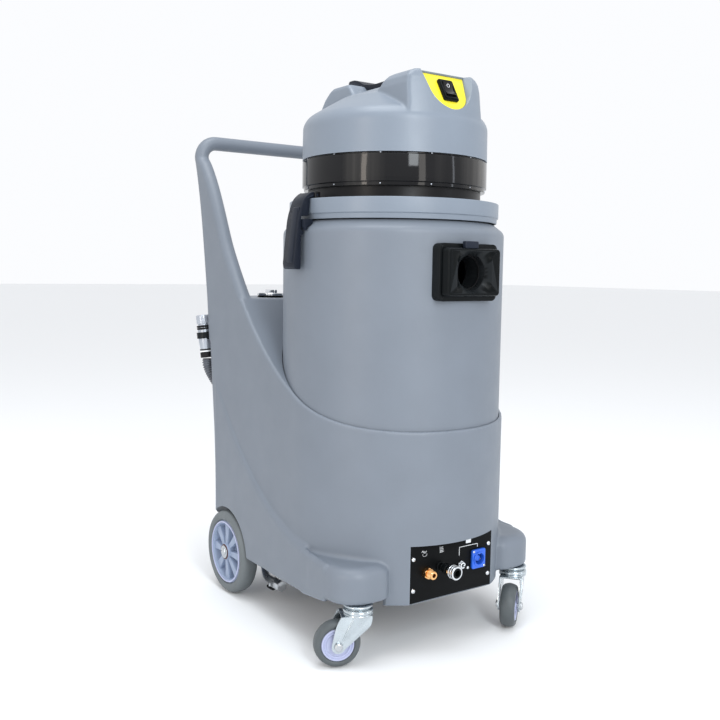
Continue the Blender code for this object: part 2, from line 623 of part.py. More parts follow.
def make_toggle():
    profile = [(0.0028, 0.0080), (0.0052, 0.0080), (0.0056, 0.0070), (0.0056, 0.0060), (0.0046, 0.0058),
               (0.0046, -0.0080), (0.0028, -0.0080)]
    bush = forward(turned("toggle_bush", profile, 12, closed=True, material=STEEL), *TOGGLE_AT)
    nut = hexagon("toggle_nut", 0.0072, GAP, 0.0035, TOGGLE_AT)
    bore = forward(rod("toggle_bore", 0.0028, -0.020, 0.020, sides=12, cutter=True), *TOGGLE_AT)
    cut(join(bush, nut), bore)
    lever = [(0.0, 0.0205), (0.0016, 0.0203), (0.0026, 0.0190), (0.0025, 0.0170), (0.0013, 0.0090), (0.0013, 0.0010),
             (0.0, 0.0010)]
    forward(turned("toggle_lever", lever, 12, material=STEEL), *TOGGLE_AT)


# ---------------------------------------------------------------- hose inlet
def make_hose_inlet():
    outline = rounded_rectangle((-0.060, 0.572), (0.060, 0.662), 0.009, 3)
    backing = plate("hose_inlet_plate", outline, 0.165, 0.1990, "-Y", material=BLACK)
    wall = rod("barrel_front", TANK_RADIUS + GAP, 0.500, 0.720, sides=48, cutter=True)
    hole = rod("plate_hole", 0.0325, -0.230, -0.150, "Y", (0.0, INLET_Z), 24, cutter=True)
    cut(backing, wall, hole)
    outline = rounded_rectangle((-0.056, 0.5787), (0.056, 0.6557), 0.006, 3)
    socket = plate("hose_inlet_socket", outline, 0.1990 + GAP, 0.2135, "-Y", material=BLACK)
    pipe = rod("socket_pipe", 0.0312, -0.2050, -0.1600, "Y", (0.0, INLET_Z), 24, cutter=True)
    bore = rod("socket_bore", INLET_BORE, -0.230, -0.150, "Y", (0.0, INLET_Z), 24, cutter=True)
    flare = rod("socket_flare", INLET_BORE - 0.0012, 0.2045, 0.2145, "Z", sides=24, cutter=True, cone=0.0330)
    flare.matrix_basis = Matrix.Translation((0, 0, INLET_Z)) @ Matrix.Rotation(math.pi / 2, 4, "X")
    pocket = box("button_pocket", (-0.0185, -0.2115, 0.6500), (0.0105, -0.2010, 0.6600), cutter=True)
    cut(join(socket, pipe), bore, flare, pocket)
    button = box("hose_release_button", (-0.0175, -0.2105, 0.6540), (0.0095, -0.2020, 0.6655), NAVY)
    bevel(button, 0.0015, 1)


# ---------------------------------------------------------------- latches
LATCH_HALF = 0.0190
PIVOT_X, PIVOT_Z = 0.1710, 0.7380


def make_latch(side, sign):
    """A lever hinged on the rim of the head, whose inner nose hooks under a catch on the tank's shoulder."""
    outline = arc((-PIVOT_X, PIVOT_Z), 0.0043, -90, 90, 4)
    outline += [(-0.1790, 0.7423), (-0.1860, 0.7290), (-0.2125, 0.6290), (-0.2100, 0.6205), (-0.1984, 0.6190),
                (-0.1984, 0.6730), (-0.1936, 0.6742), (-0.1936, 0.6785), (-0.1984, 0.6830), (-0.1978, 0.7030),
                (-0.1840, 0.7045), (-0.1820, 0.7337)]
    latch = plate(f"latch_{side}", mirrored(outline, side), -LATCH_HALF, LATCH_HALF, "-Y", material=NAVY)
    pin = rod(f"latch_pin_{side}", 0.0022, -0.0228, 0.0228, "Y", (sign * PIVOT_X, PIVOT_Z), 10, cutter=True)
    join(latch, pin)
    catch = [(-0.1800, 0.6925), (-0.1800, 0.6985), (-0.1972, 0.6985), (-0.1972, 0.6850), (-0.1913, 0.6800),
             (-0.1913, 0.6838)]
    plate(f"latch_catch_{side}", mirrored(catch, side), -0.0240, 0.0240, "-Y", material=NAVY)


# ---------------------------------------------------------------- motor head
def make_head_base():
    """The lid ring that closes the tank, the neck above it and the lugs that hold the latches' pins."""
    profile = [(0.0200, 0.7080), (0.1440, 0.7080), (0.1440, BAND_LOW - GAP), (0.1490, BAND_LOW - GAP),
               (0.1490, RIM_HIGH), (RIM_RADIUS - 0.003, RIM_HIGH), (RIM_RADIUS, RIM_HIGH - 0.003),
               (RIM_RADIUS, RIM_LOW + 0.002), (RIM_RADIUS - 0.002, RIM_LOW), (0.0200, RIM_LOW)]
    base = turned("head_base", profile, 48, closed=True, material=GREY)
    for side, sign in SIDES:
        for end, y in (("front", -0.0222), ("rear", 0.0222)):
            low, high = sorted((sign * 0.1660, sign * 0.1760))
            lug = box(f"lug_{end}_{side}", (low, y - 0.0022, RIM_HIGH - 0.004), (high, y + 0.0022, 0.7430), cutter=True)
            join(base, lug)
        cut(base, rod(f"pin_bore_{side}", 0.0027, -0.030, 0.030, "Y", (sign * PIVOT_X, PIVOT_Z), 12, cutter=True))


def make_gasket():
    low, high = TANK_TOP + GAP, RIM_LOW - GAP
    turned("tank_gasket", [(0.1640, high), (0.1750, high), (0.1750, low), (0.1640, low)], 48, closed=True,
           material=SEAL)


def make_cooling_ring():
    profile = [(0.1500, BAND_HIGH - GAP), (0.1560, BAND_HIGH - GAP), (0.1560, BAND_HIGH - 0.003), (BAND_RADIUS, BAND_HIGH - 0.003),
               (BAND_RADIUS, BAND_LOW + 0.006), (0.1560, BAND_LOW + 0.006), (0.1560, BAND_LOW), (0.1400, BAND_LOW),
               (0.1400, BAND_LOW + 0.003), (0.1500, BAND_LOW + 0.006)]
    turned("cooling_ring", profile, 48, closed=True, material=GLOSS)


def nose_ring(z, radius, half, back, inset=0.0):
    """The head's front hump from above: a round front, straight sides and a straight back."""
    radius, half, back = radius - inset, half - inset, back - inset
    edge = math.degrees(math.asin(half / radius))
    front = arc((0, 0), radius, 270 - edge, 270 + edge, 10)
    return [(x, y, z) for x, y in front + [(half, back), (-half, back)]]


def rear_ring(z, half, front, back, corner=0.016):
    return [(x, y, z) for x, y in rounded_rectangle((-half, front), (half, back), corner, 3)]


def on_slope(item):
    """Stands a piece, drawn flat with +Z up out of it, on the leaning switch panel."""
    lean = Matrix.Rotation(math.pi / 2 - SLOPE, 4, "X")
    item.matrix_basis = Matrix.Translation((0, SWITCH_Y, SWITCH_Z)) @ lean @ item.matrix_basis
    return item


def switch_outline(inset):
    """The yellow panel: straight top, tapered sides and a round bottom."""
    half = 0.0450 - inset
    bottom = arc((0, 0.0060), 0.0385 - inset, 195, 345, 8)
    return bottom + [(half, 0.0345 - inset), (-half, 0.0345 - inset)]


def make_motor_cover():
    wall = BAND_RADIUS
    profile = [(0.0, 0.8690), (0.0800, 0.8690), (0.1450, 0.8600), (0.1535, 0.8540), (0.1535, BAND_HIGH + GAP)]
    outside = [(wall, BAND_HIGH + GAP), (wall - 0.0010, COVER_EDGE), (wall - 0.0040, COVER_EDGE + 0.006),
               (0.1500, 0.8715), (0.0850, 0.9060), (0.0, 0.9120)]
    cover = turned("motor_cover", profile + outside, 48, material=GREY)
    for face in (cover,):
        face.modifiers["turn"].use_normal_flip = True
    nose = loft("head_nose", [nose_ring(0.860, 0.1560, 0.0830, -0.0300), nose_ring(0.868, 0.1555, 0.0820, -0.0330),
                              nose_ring(0.911, 0.1510, 0.0760, -0.0540), nose_ring(0.9275, 0.1480, 0.0745, -0.0700),
                              nose_ring(0.9335, 0.1450, 0.0710, -0.0770)], cutter=True)
    rear = loft("head_rear", [rear_ring(0.860, 0.0800, 0.0100, 0.1350), rear_ring(0.899, 0.0770, 0.0220, 0.1215),
                              rear_ring(0.9275, 0.0740, 0.0370, 0.0980), rear_ring(0.9335, 0.0680, 0.0420, 0.0850)],
                cutter=True)
    recess = on_slope(loft("switch_recess", [[(x, y, z) for x, y in switch_outline(inset)]
                                             for z, inset in ((-0.0030, 0.0), (0.0010, 0.0), (0.0400, -0.0350))],
                           cutter=True))
    fingers = box("finger_room", (-0.0450, -0.0500, 0.8770), (0.0450, 0.0300, 0.9600), cutter=True)
    cut(join(cover, nose, rear), recess, fingers)


def make_switch():
    panel = on_slope(plate("switch_panel", switch_outline(0.0006), -0.0027, -0.0007, "Z", material=YELLOW))
    hole = on_slope(box("switch_hole", (-0.0112, -0.0120, -0.010), (0.0112, 0.0180, 0.010), cutter=True))
    cut(panel, hole)
    frame = on_slope(plate("switch_frame", rounded_rectangle((-0.0150, -0.0170), (0.0150, 0.0230), 0.003, 2),
                           -0.0004, 0.0050, "Z", material=BLACK))
    mouth = on_slope(box("rocker_mouth", (-0.0100, -0.0110, -0.010), (0.0100, 0.0170, 0.020), cutter=True))
    cut(frame, mouth)
    side = arc((0.0030, 0.0280), 0.0235, 239.8, 300.2, 6) + [(0.0135, -0.0005), (-0.0075, -0.0005)]
    place = Matrix.Translation((0, SWITCH_Y, SWITCH_Z)) @ Matrix.Rotation(math.pi / 2 - SLOPE, 4, "X")
    plate("rocker_switch", side, -0.0090, 0.0090, "X", place, material=GLOSS)


def make_carry_handle():
    """A grip that bridges the saddle between the two humps of the cover."""
    side = [(-0.0598, 0.9180), (-0.0726, 0.9308), (-0.0680, 0.9350), (-0.0165, 0.9330), (0.0150, 0.9325),
            (0.0420, 0.9385), (0.0530, 0.9450), (0.0660, 0.9490), (0.0830, 0.9490), (0.0860, 0.9345),
            (0.0360, 0.9340), (0.0268, 0.9180)]
    grip = plate("carry_handle", side, -0.0410, 0.0410, "X", material=NAVY)
    bevel(grip, 0.0025, 1, 30)


def make_vacuum_motor():
    """Vacuum motor above the lid, its fan below it, and the float shut-off that hangs in the tank."""
    profile = [(0.0, 0.8560), (0.0200, 0.8560), (0.0220, 0.8440), (0.0500, 0.8380), (0.0520, 0.7900), (0.0720, 0.7860),
               (0.0720, 0.7500), (0.0700, 0.7500), (0.0700, 0.7840), (0.0, 0.7840)]
    motor = turned("vacuum_motor", profile, 24, material=STEEL)
    foot = turned("motor_foot", [(0.0700, 0.7560), (0.0860, 0.7520), (0.0860, 0.7086), (0.0820, 0.7086), (0.0820, 0.7490),
                                 (0.0700, 0.7505)], 24, closed=True, cutter=True)
    join(motor, foot)
    fan = [(0.0, 0.7820), (0.0100, 0.7820), (0.0110, 0.7720), (0.0620, 0.7700), (0.0620, 0.7560), (0.0180, 0.7530),
           (0.0, 0.7530)]
    turned("motor_fan", fan, 24, material=STEEL)
    low, high = 0.6100, RIM_LOW - GAP
    cage = [(0.0330, high), (0.0420, high), (0.0420, high - 0.004), (0.0360, high - 0.004), (0.0360, low),
            (0.0330, low)]
    cage = turned("float_cage", cage, 20, closed=True, material=BLACK)
    for i in range(3):
        slot = box(f"cage_slot_{i}", (-0.0500, -0.0120, low + 0.010), (0.0500, 0.0120, high - 0.012), cutter=True)
        slot.matrix_basis = Matrix.Rotation(math.radians(60 * i), 4, "Z")
        cut(cage, slot)
    floor = rod("cage_floor", 0.0345, low, low + 0.003, sides=20, cutter=True)
    drip = rod("cage_drip", 0.0080, low - 0.010, low + 0.010, sides=12, cutter=True)
    cut(join(cage, floor), drip)
    ball = bmesh.new()
    bmesh.ops.create_uvsphere(ball, u_segments=14, v_segments=8, radius=0.0240)
    bmesh.ops.translate(ball, vec=(0, 0, low + 0.0034 + 0.0240), verts=ball.verts)
    smooth(from_bmesh("float_ball", ball, NATURAL))


# ---------------------------------------------------------------- plumbing
def make_drain():
    """Recovery tank outlet, its elbow, the dump hose that stands against the rear wall, its cuff and plug."""
    x, z = DRAIN
    pipe = [(x, 0.128, z), (x, 0.326, z), (x, 0.334, z + 0.001), (x - 0.001, 0.341, z + 0.005),
            (x - 0.004, 0.346, z + 0.010), (x - 0.008, 0.3485, z + 0.018), (x - 0.008, 0.3485, z + 0.026)]
    tube("drain_elbow", pipe, 0.0115, 2, material=BLACK)
    line = [(0.0, 0.0)] + bezier([(0.0, 0.006), (0.001, 0.030), (0.0300, 0.052), (0.031, 0.078)], 7) + [(0.031, 0.084)]
    hose = [(x - 0.0083 - out, 0.3485 + 0.04 * up, z + 0.0266 + up) for out, up in line]
    tube("drain_hose", hose, 0.0105, 2, material=RUBBER)
    lean = Matrix.Translation((x - 0.0398, 0.3522, z + 0.1130)) @ Matrix.Rotation(math.radians(-4), 4, "Y")
    lean = lean @ Matrix.Rotation(math.radians(-5.5), 4, "X")
    cuff = [(0.0, 0.0700), (0.0105, 0.0700), (0.0105, 0.0640), (0.0135, 0.0630), (0.0135, 0.0560), (0.0125, 0.0550),
            (0.0125, 0.0280), (0.0100, 0.0080), (0.0125, 0.0070), (0.0125, 0.0), (0.0, 0.0)]
    turned("drain_cuff", cuff, 20, material=STEEL).matrix_basis = lean
    plug = [(0.0, 0.0840), (0.0115, 0.0840), (0.0130, 0.0820), (0.0130, 0.0660), (0.0108, 0.0660), (0.0108, 0.0705),
            (0.0, 0.0705)]
    turned("drain_plug", plug, 20, material=STEEL).matrix_basis = lean
    clip = [(0.0128, 0.0500), (0.0150, 0.0500), (0.0150, 0.0380), (0.0128, 0.0380)]
    ring = turned("hose_clip", clip, 20, closed=True, material=BLACK)
    ring.matrix_basis = lean
    foot = box("clip_foot", (x - 0.044, 0.3360, z + 0.1500), (x - 0.024, 0.3440, z + 0.1600), cutter=True)
    rear = plate("wall_room", [(0.300, 0.460), (0.3375 + GAP, 0.460), (0.3485, 0.580), (0.300, 0.580)], -0.250, 0.0, "X",
                 cutter=True)
    room = turned("cuff_room", [(0.0, 0.0600), (0.0128, 0.0600), (0.0128, 0.0300), (0.0, 0.0300)], 20, cutter=True)
    room.matrix_basis = lean
    cut(join(ring, foot), rear, room)


def make_drain_valve():
    """Clean water drain under the body: a pipe from the tank, a hex body and a quarter-turn lever."""
    x, y = VALVE_X, VALVE_Y
    pipe = [(x, y, 0.2990), (x, y, 0.0640), (x - 0.001, y - 0.003, 0.054), (x - 0.003, y - 0.009, 0.046),
            (x - 0.006, y - 0.018, 0.0420), (x - 0.008, y - 0.028, 0.0405), (x - 0.009, y - 0.066, 0.0400)]
    body = tube("drain_valve_body", pipe, 0.0075, 2, material=STEEL)
    nut = rod("valve_nut", 0.0110, 0.1180, 0.1440, "Y", (x - 0.009, 0.0400), 6, cutter=True)
    boss = rod("valve_boss", 0.0045, 0.0290, 0.0400, "Z", (x - 0.009, 0.1590), 12, cutter=True)
    join(body, nut, boss)
    lever = box("drain_valve_lever", (x - 0.0125, 0.1480, 0.0230), (x - 0.0055, 0.1700, 0.0287), BLACK)
    bevel(lever, 0.0012, 1)


def make_pump():
    """Solution pump under the bay's ceiling."""
    pump = rod("solution_pump", 0.0340, -0.060, 0.040, "Y", (0.050, 0.2500), 20, material=BLACK)
    head = box("pump_head", (0.020, -0.105, 0.222), (0.080, -0.059, 0.278), cutter=True)
    foot = box("pump_foot", (0.025, -0.050, 0.270), (0.075, 0.030, BAY_CEILING - GAP), cutter=True)
    join(pump, head, foot)


# ---------------------------------------------------------------- the whole machine
drain_bore = make_chassis()
make_handle()
make_recovery_tank(drain_bore)
make_solution_tank()
make_filler_cap()
make_axle()
for side, sign in SIDES:
    make_rear_wheel(side, sign)
    make_caster(side, sign)
    make_latch(side, sign)
make_panel()
make_brass_outlet()
make_coupler()
make_power_inlet()
make_toggle()
make_hose_inlet()
make_head_base()
make_gasket()
make_cooling_ring()
make_motor_cover()
make_switch()
make_carry_handle()
make_vacuum_motor()
make_drain()
make_drain_valve()
make_pump()
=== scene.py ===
"""Looks for the carpet cleaner machine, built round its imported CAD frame. Shapes are drawn about the barrel's axis."""
import math

import bmesh
import bpy
from mathutils import Matrix, Vector


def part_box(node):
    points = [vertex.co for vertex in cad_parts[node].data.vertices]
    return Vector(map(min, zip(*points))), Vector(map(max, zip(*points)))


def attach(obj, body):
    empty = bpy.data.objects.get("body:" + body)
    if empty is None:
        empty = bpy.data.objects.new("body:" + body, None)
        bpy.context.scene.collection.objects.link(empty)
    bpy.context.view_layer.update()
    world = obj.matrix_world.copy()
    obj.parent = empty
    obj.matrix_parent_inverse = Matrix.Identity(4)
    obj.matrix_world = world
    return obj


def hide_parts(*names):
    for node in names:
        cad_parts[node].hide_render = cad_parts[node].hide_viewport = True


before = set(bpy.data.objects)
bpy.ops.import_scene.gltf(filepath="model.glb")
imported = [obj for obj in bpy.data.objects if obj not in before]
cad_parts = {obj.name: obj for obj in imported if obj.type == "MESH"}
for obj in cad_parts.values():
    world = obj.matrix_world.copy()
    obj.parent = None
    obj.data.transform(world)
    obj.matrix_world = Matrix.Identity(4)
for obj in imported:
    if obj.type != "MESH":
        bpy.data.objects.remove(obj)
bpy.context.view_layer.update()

LOW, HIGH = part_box("recovery_tank")
SHIFT = Vector(((LOW[0] + HIGH[0]) / 2, (LOW[1] + HIGH[1]) / 2, 0.0))    # where the barrel's axis stands
SIDES = (("left", -1), ("right", 1))
BODY_VOXEL, COVER_VOXEL = ((0.0029, 0.0018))
GAP = 0.0003

# shared with the CAD, about the barrel's axis
BODY_RADIUS = 0.1965
BODY_BOTTOM = 0.086
DECK_Z = 0.5645
REAR_EDGE = [(0.313, BODY_BOTTOM), (0.3135, 0.16), (0.322, 0.31), (0.334, 0.43), (0.347, DECK_Z)]
SEAM = [(-0.2, 0.3665), (-0.02, 0.3665), (0.131, 0.45), (0.266, 0.66)]
ARM_FRONT = [(0.266, 0.66), (0.29, 0.7), (0.325, 0.79), (0.3745, 0.836)]
ARM_REAR = [(0.347, DECK_Z), (0.362, 0.66), (0.372, 0.75), (0.4015, 0.836)]
HANDLE_RADIUS, HANDLE_Y, HANDLE_Z, HANDLE_BEND = 0.0135, 0.388, 0.864, 0.03
TANK_RADIUS, SHOULDER_Z, TANK_TOP, NECK_RADIUS = 0.191, 0.6835, 0.6985, 0.172
RIM_RADIUS, RIM_LOW, RIM_HIGH = 0.1806, 0.702, 0.7326
BAND_RADIUS, BAND_LOW, BAND_HIGH = 0.159, 0.7518, 0.8035
WHEEL_RADIUS, WHEEL_Y, WHEEL_INNER, WHEEL_OUTER = 0.0788, 0.248, 0.1704, 0.2044
ARCH_RADIUS, ARCH_Y, ARCH_Z = 0.086, 0.249, 0.0788
CASTER_X, CASTER_Y, CASTER_RADIUS, CASTER_TRAIL = 0.168, -0.1486, 0.0375, 0.033
CASTER_TURN = {"left": math.radians(155), "right": math.radians(218)}
LOBE_BOTTOM, LOBE_TOP = 0.101, 0.158
HEM = [(-0.22, 0.07), (0.02, 0.07), (0.02, 0.0862), (-0.04, 0.089), (-0.1, 0.0965), (-0.15, 0.1006), (-0.22, 0.1006)]
PANEL_Y, PANEL_HALF, PANEL_LOW, PANEL_HIGH = -0.1763, 0.0868, 0.0885, 0.1828
INLET_Z, INLET_BORE, INLET_HOLE, INLET_FACE = 0.6175, 0.028, 0.0325, 0.199
SLOPE = math.radians(30)
SWITCH_Y, SWITCH_Z = -0.1385, 0.9015
FILLER, DRAIN, VALVE = (-0.105, 0.246), (-0.15, 0.33), (-0.143, 0.2)
PIVOT_X, PIVOT_Z = 0.171, 0.738
NECK_EDGE = 0.15          # inside this radius the top of the lid ring is the black neck
SPOKES, FLUTES, NICKS, BAND_CLIPS = 8, 18, 24, 12
NOSE_CORNER, REAR_CORNER = 0.004, 0.006

# the fitted camera
YAW, PITCH, ROLL = math.radians(34.964), math.radians(5.827), math.radians(0.798)
CAMERA_PLACE, CAMERA_LENS = (-0.9333, -1.239, 0.6182), 43.96


# ---------------------------------------------------------------- materials
def material(name, colour, roughness=0.45, metallic=0.0, vary=0.06, patches=14.0, grain=0.0, grain_size=900.0,
             waviness=0.0, rough_vary=0.08, edge=0.0, edge_highlight_colour=None, streak=0.0, ior=1.5, reflection_streak_colour=None):
    """A Principled surface with broad colour change, fine grain, faint waviness, paler edges painted on as highlights
    and optional painted reflection streaks.
    """
    made = bpy.data.materials.new(name)
    made.use_nodes = True
    nodes, links = made.node_tree.nodes, made.node_tree.links
    shader = nodes["Principled BSDF"]
    shader.inputs["Metallic"].default_value = metallic
    shader.inputs["IOR"].default_value = ior
    place = nodes.new("ShaderNodeTexCoord").outputs["Object"]

    def noise(scale, detail=3.0, stretch=None):
        source = place
        if stretch:
            mapping = nodes.new("ShaderNodeMapping")
            mapping.inputs["Scale"].default_value = stretch
            links.new(place, mapping.inputs["Vector"])
            source = mapping.outputs["Vector"]
        node = nodes.new("ShaderNodeTexNoise")
        node.inputs["Scale"].default_value = scale
        node.inputs["Detail"].default_value = detail
        links.new(source, node.inputs["Vector"])
        return node.outputs["Fac"]

    def spread(source, low, high):
        node = nodes.new("ShaderNodeMapRange")
        node.inputs["From Min"].default_value = 0.3
        node.inputs["From Max"].default_value = 0.7
        node.inputs["To Min"].default_value = low
        node.inputs["To Max"].default_value = high
        links.new(source, node.inputs["Value"])
        return node.outputs["Result"]

    def mix(factor, one, two):
        node = nodes.new("ShaderNodeMix")
        node.data_type = "RGBA"
        for socket, value in ((node.inputs[6], one), (node.inputs[7], two)):
            if isinstance(value, tuple):
                socket.default_value = (*value, 1.0)
            else:
                links.new(value, socket)
        links.new(factor, node.inputs[0])
        return node.outputs[2]

    dark = tuple(c * (1 - vary) for c in colour)
    light = tuple(min(c * (1 + vary), 1.0) for c in colour)
    base = mix(spread(noise(patches), 0.0, 1.0), dark, light)
    fleck = tuple(min(c * (1 + vary * 0.8), 1.0) for c in colour)
    base = mix(spread(noise(320.0, 2.0), 0.0, 0.35), base, fleck)
    # painted reflection: vertical streaks of a paler colour in the base colour stand in for reflections in the gloss
    # band
    if reflection_streak_colour:
        zones = spread(noise(11.0, 1.0, (1.0, 1.0, 0.02)), -0.6, 1.0)
        fine = spread(noise(110.0, 3.0, (1.0, 1.0, 0.01)), 0.35, 1.0)
        both = nodes.new("ShaderNodeMath")
        both.operation = "MULTIPLY"
        both.use_clamp = True
        links.new(zones, both.inputs[0])
        links.new(fine, both.inputs[1])
        base = mix(both.outputs[0], base, reflection_streak_colour)
    # painted highlight: a paler colour painted along sharp edges (by pointiness) stands in for light catching the
    # rounded edges
    if edge:
        point = nodes.new("ShaderNodeNewGeometry").outputs["Pointiness"]
        ramp = nodes.new("ShaderNodeMapRange")
        ramp.inputs["From Min"].default_value = 0.52
        ramp.inputs["From Max"].default_value = 0.6
        ramp.inputs["To Max"].default_value = edge
        links.new(point, ramp.inputs["Value"])
        base = mix(ramp.outputs["Result"], base, edge_highlight_colour or tuple(min(c * 1.5 + 0.03, 1.0) for c in colour))
    links.new(base, shader.inputs["Base Color"])
    rough = spread(noise(patches * 2.5), roughness * (1 - rough_vary), roughness * (1 + rough_vary))
    links.new(rough, shader.inputs["Roughness"])
    normal = None
    for source, strength, distance in ((noise(grain_size, 2.0), grain, 0.0002), (noise(22.0, 1.0), waviness, 0.004),
            (noise(260.0, 2.0, (1.0, 1.0, 0.02)), streak, 0.0002)):
        if strength:
            bump = nodes.new("ShaderNodeBump")
            bump.inputs["Strength"].default_value = strength
            bump.inputs["Distance"].default_value = distance
            links.new(source, bump.inputs["Height"])
            if normal:
                links.new(normal, bump.inputs["Normal"])
            normal = bump.outputs["Normal"]
    if normal:
        links.new(normal, shader.inputs["Normal"])
    return made


# the edge colours given to these materials are painted highlights along their edges
GREY = material("moulded_grey_plastic", (0.154, 0.178, 0.214), 0.44, vary=0.035, grain=0.35, waviness=0.05, edge=0.3,
                edge_highlight_colour=(0.38, 0.43, 0.51))
GREY_HEAD = material("head_grey_plastic", (0.184, 0.218, 0.266), 0.38, vary=0.03, grain=0.25, waviness=0.03,
                     edge=0.25, edge_highlight_colour=(0.42, 0.48, 0.57))
# the gloss band's streaky colour is a painted reflection
GLOSS = material("gloss_black_band", (0.006, 0.006, 0.007), 0.07, vary=0.2, waviness=0.05, streak=0.1, ior=1.33,
                 reflection_streak_colour=(0.085, 0.08, 0.074))
DARK = material("neck_black", (0.003, 0.003, 0.004), 0.35, vary=0.2, grain=0.2, ior=1.3)
PANEL = material("panel_black", (0.004, 0.0045, 0.005), 0.45, vary=0.15, grain=0.45, grain_size=1400.0, ior=1.16)
INLET = material("inlet_black", (0.0025, 0.0035, 0.004), 0.26, vary=0.15, grain=0.3, edge=0.25,
                 edge_highlight_colour=(0.045, 0.05, 0.055), ior=1.18)
NAVY = material("latch_navy_black", (0.009, 0.012, 0.02), 0.36, vary=0.12, grain=0.5, grain_size=1300.0, edge=0.4,
                edge_highlight_colour=(0.045, 0.055, 0.08), ior=1.22)
YELLOW = material("yellow_panel", (0.8, 0.69, 0.03), 0.33, vary=0.025, grain=0.15, waviness=0.02)
TYRE = material("grey_tyre", (0.122, 0.138, 0.146), 0.62, vary=0.1, patches=30.0, grain=0.6, grain_size=700.0,
                edge=0.25, edge_highlight_colour=(0.17, 0.19, 0.2))
CASTER_TYRE = material("caster_tyre", (0.07, 0.082, 0.088), 0.48, vary=0.12, patches=40.0, grain=0.5, grain_size=800.0)
HUB = material("hub_grey_blue", (0.25, 0.31, 0.43), 0.42, vary=0.05, grain=0.3, edge=0.4, edge_highlight_colour=(0.42, 0.5, 0.62))
HUB_RED = material("hub_centre_red", (0.085, 0.03, 0.026), 0.45, vary=0.3, patches=160.0, grain=0.4)
LILAC = material("caster_hub_lilac", (0.4, 0.43, 0.6), 0.38, vary=0.05, grain=0.3, edge=0.3)
ZINC = material("bright_zinc", (0.5, 0.55, 0.58), 0.24, 1.0, vary=0.08, patches=45.0, rough_vary=0.35, waviness=0.1,
                grain=0.12, grain_size=500.0)
CHROME = material("chrome", (0.66, 0.68, 0.7), 0.12, 1.0, vary=0.05, patches=60.0, rough_vary=0.3, waviness=0.04)
STEEL = material("satin_steel", (0.5, 0.52, 0.54), 0.32, 1.0, vary=0.08, patches=50.0, rough_vary=0.25, streak=0.25)
BRASS = material("brass", (0.84, 0.47, 0.2), 0.22, 1.0, vary=0.1, patches=90.0, rough_vary=0.35, waviness=0.05)
BLUE = material("inlet_blue", (0.02, 0.115, 0.62), 0.32, vary=0.05, grain=0.25)
WHITE = material("white_print", (0.8, 0.82, 0.84), 0.5, vary=0.04, patches=200.0)
RUBBER = material("black_rubber", (0.008, 0.008, 0.009), 0.6, vary=0.2, grain=0.5, ior=1.3)
HOSE = material("hose_grey", (0.1, 0.11, 0.13), 0.5, vary=0.12, grain=0.4)
NATURAL = material("natural_plastic", (0.62, 0.63, 0.6), 0.45, vary=0.05, grain=0.3)
SILVER = material("silver_plastic", (0.42, 0.45, 0.5), 0.3, 0.6, vary=0.06, grain=0.15)


# ---------------------------------------------------------------- mesh helpers
def new_object(name, shape):
    """An object from a bmesh, still at the barrel's axis."""
    mesh = bpy.data.meshes.new(name)
    bmesh.ops.recalc_face_normals(shape, faces=shape.faces)
    shape.to_mesh(mesh)
    shape.free()
    item = bpy.data.objects.new(name, mesh)
    bpy.context.scene.collection.objects.link(item)
    return item


def baked(item):
    """Applies an object's modifiers."""
    bpy.context.view_layer.update()
    mesh = bpy.data.meshes.new_from_object(item.evaluated_get(bpy.context.evaluated_depsgraph_get()))
    old = item.data
    item.modifiers.clear()
    item.data = mesh
    bpy.data.meshes.remove(old)
    return item


def carve(item, *tools, operation="DIFFERENCE", solver="MANIFOLD"):
    """Cuts the tools out of an object, or joins them to it, and removes them."""
    for tool in tools:
        step = item.modifiers.new("boolean", "BOOLEAN")
        step.operation = operation
        step.object = tool
        step.solver = solver
        baked(item)
        bpy.data.objects.remove(tool)
    return item


def join(item, *tools, solver="MANIFOLD"):
    """Joins the tools to an object and removes them."""
    return carve(item, *tools, operation="UNION", solver=solver)


def soften(item, width, segments=2, angle=35):
    """Rounds an object's sharp edges."""
    step = item.modifiers.new("edges", "BEVEL")
    step.width = width
    step.segments = segments
    step.limit_method = "ANGLE"
    step.angle_limit = math.radians(angle)
    return baked(item)


def remesh(item, size, rounds):
    """Gives an object one continuous skin and smooths it."""
    step = item.modifiers.new("skin", "REMESH")
    step.mode = "VOXEL"
    step.voxel_size = size
    baked(item)
    step = item.modifiers.new("ease", "SMOOTH")
    step.factor = 0.5
    step.iterations = rounds
    return baked(item)


def merge(items):
    """One object from several closed shapes that overlap, ready for a remesh."""
    shape = bmesh.new()
    for item in items:
        shape.from_mesh(item.data)
    name = items[0].name
    for item in items:
        bpy.data.objects.remove(item)
    return new_object(name, shape)


def done(item, body, look, nodes=(), angle=38, turn=None):
    """Moves a piece to its place in the frame, shades it and hands it to its body."""
    if turn:
        item.data.transform(turn)
    item.data.transform(Matrix.Translation(SHIFT))
    item.data.materials.clear()
    for one in look if isinstance(look, (list, tuple)) else (look,):
        item.data.materials.append(one)
    item.data.shade_smooth()
    item.data.set_sharp_from_angle(angle=math.radians(angle))
    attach(item, body)
    if nodes:
        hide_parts(*nodes)
    return item


def box(name, low, high):
    """A block between two corners."""
    shape = bmesh.new()
    bmesh.ops.create_cube(shape, size=1.0)
    low, high = Vector(low), Vector(high)
    place = Matrix.Translation((low + high) / 2) @ Matrix.Diagonal((*(high - low), 1.0))
    bmesh.ops.transform(shape, matrix=place, verts=shape.verts)
    return new_object(name, shape)


TURN = {"Z": Matrix.Identity(4), "X": Matrix.Rotation(math.pi / 2, 4, "Y"), "Y": Matrix.Rotation(-math.pi / 2, 4, "X")}
FORWARD = Matrix.Rotation(math.pi / 2, 4, "X")       # a height along +Z comes to run out along -Y


def tilt(degrees, axis):
    """A turn about an axis."""
    return Matrix.Rotation(math.radians(degrees), 4, axis)


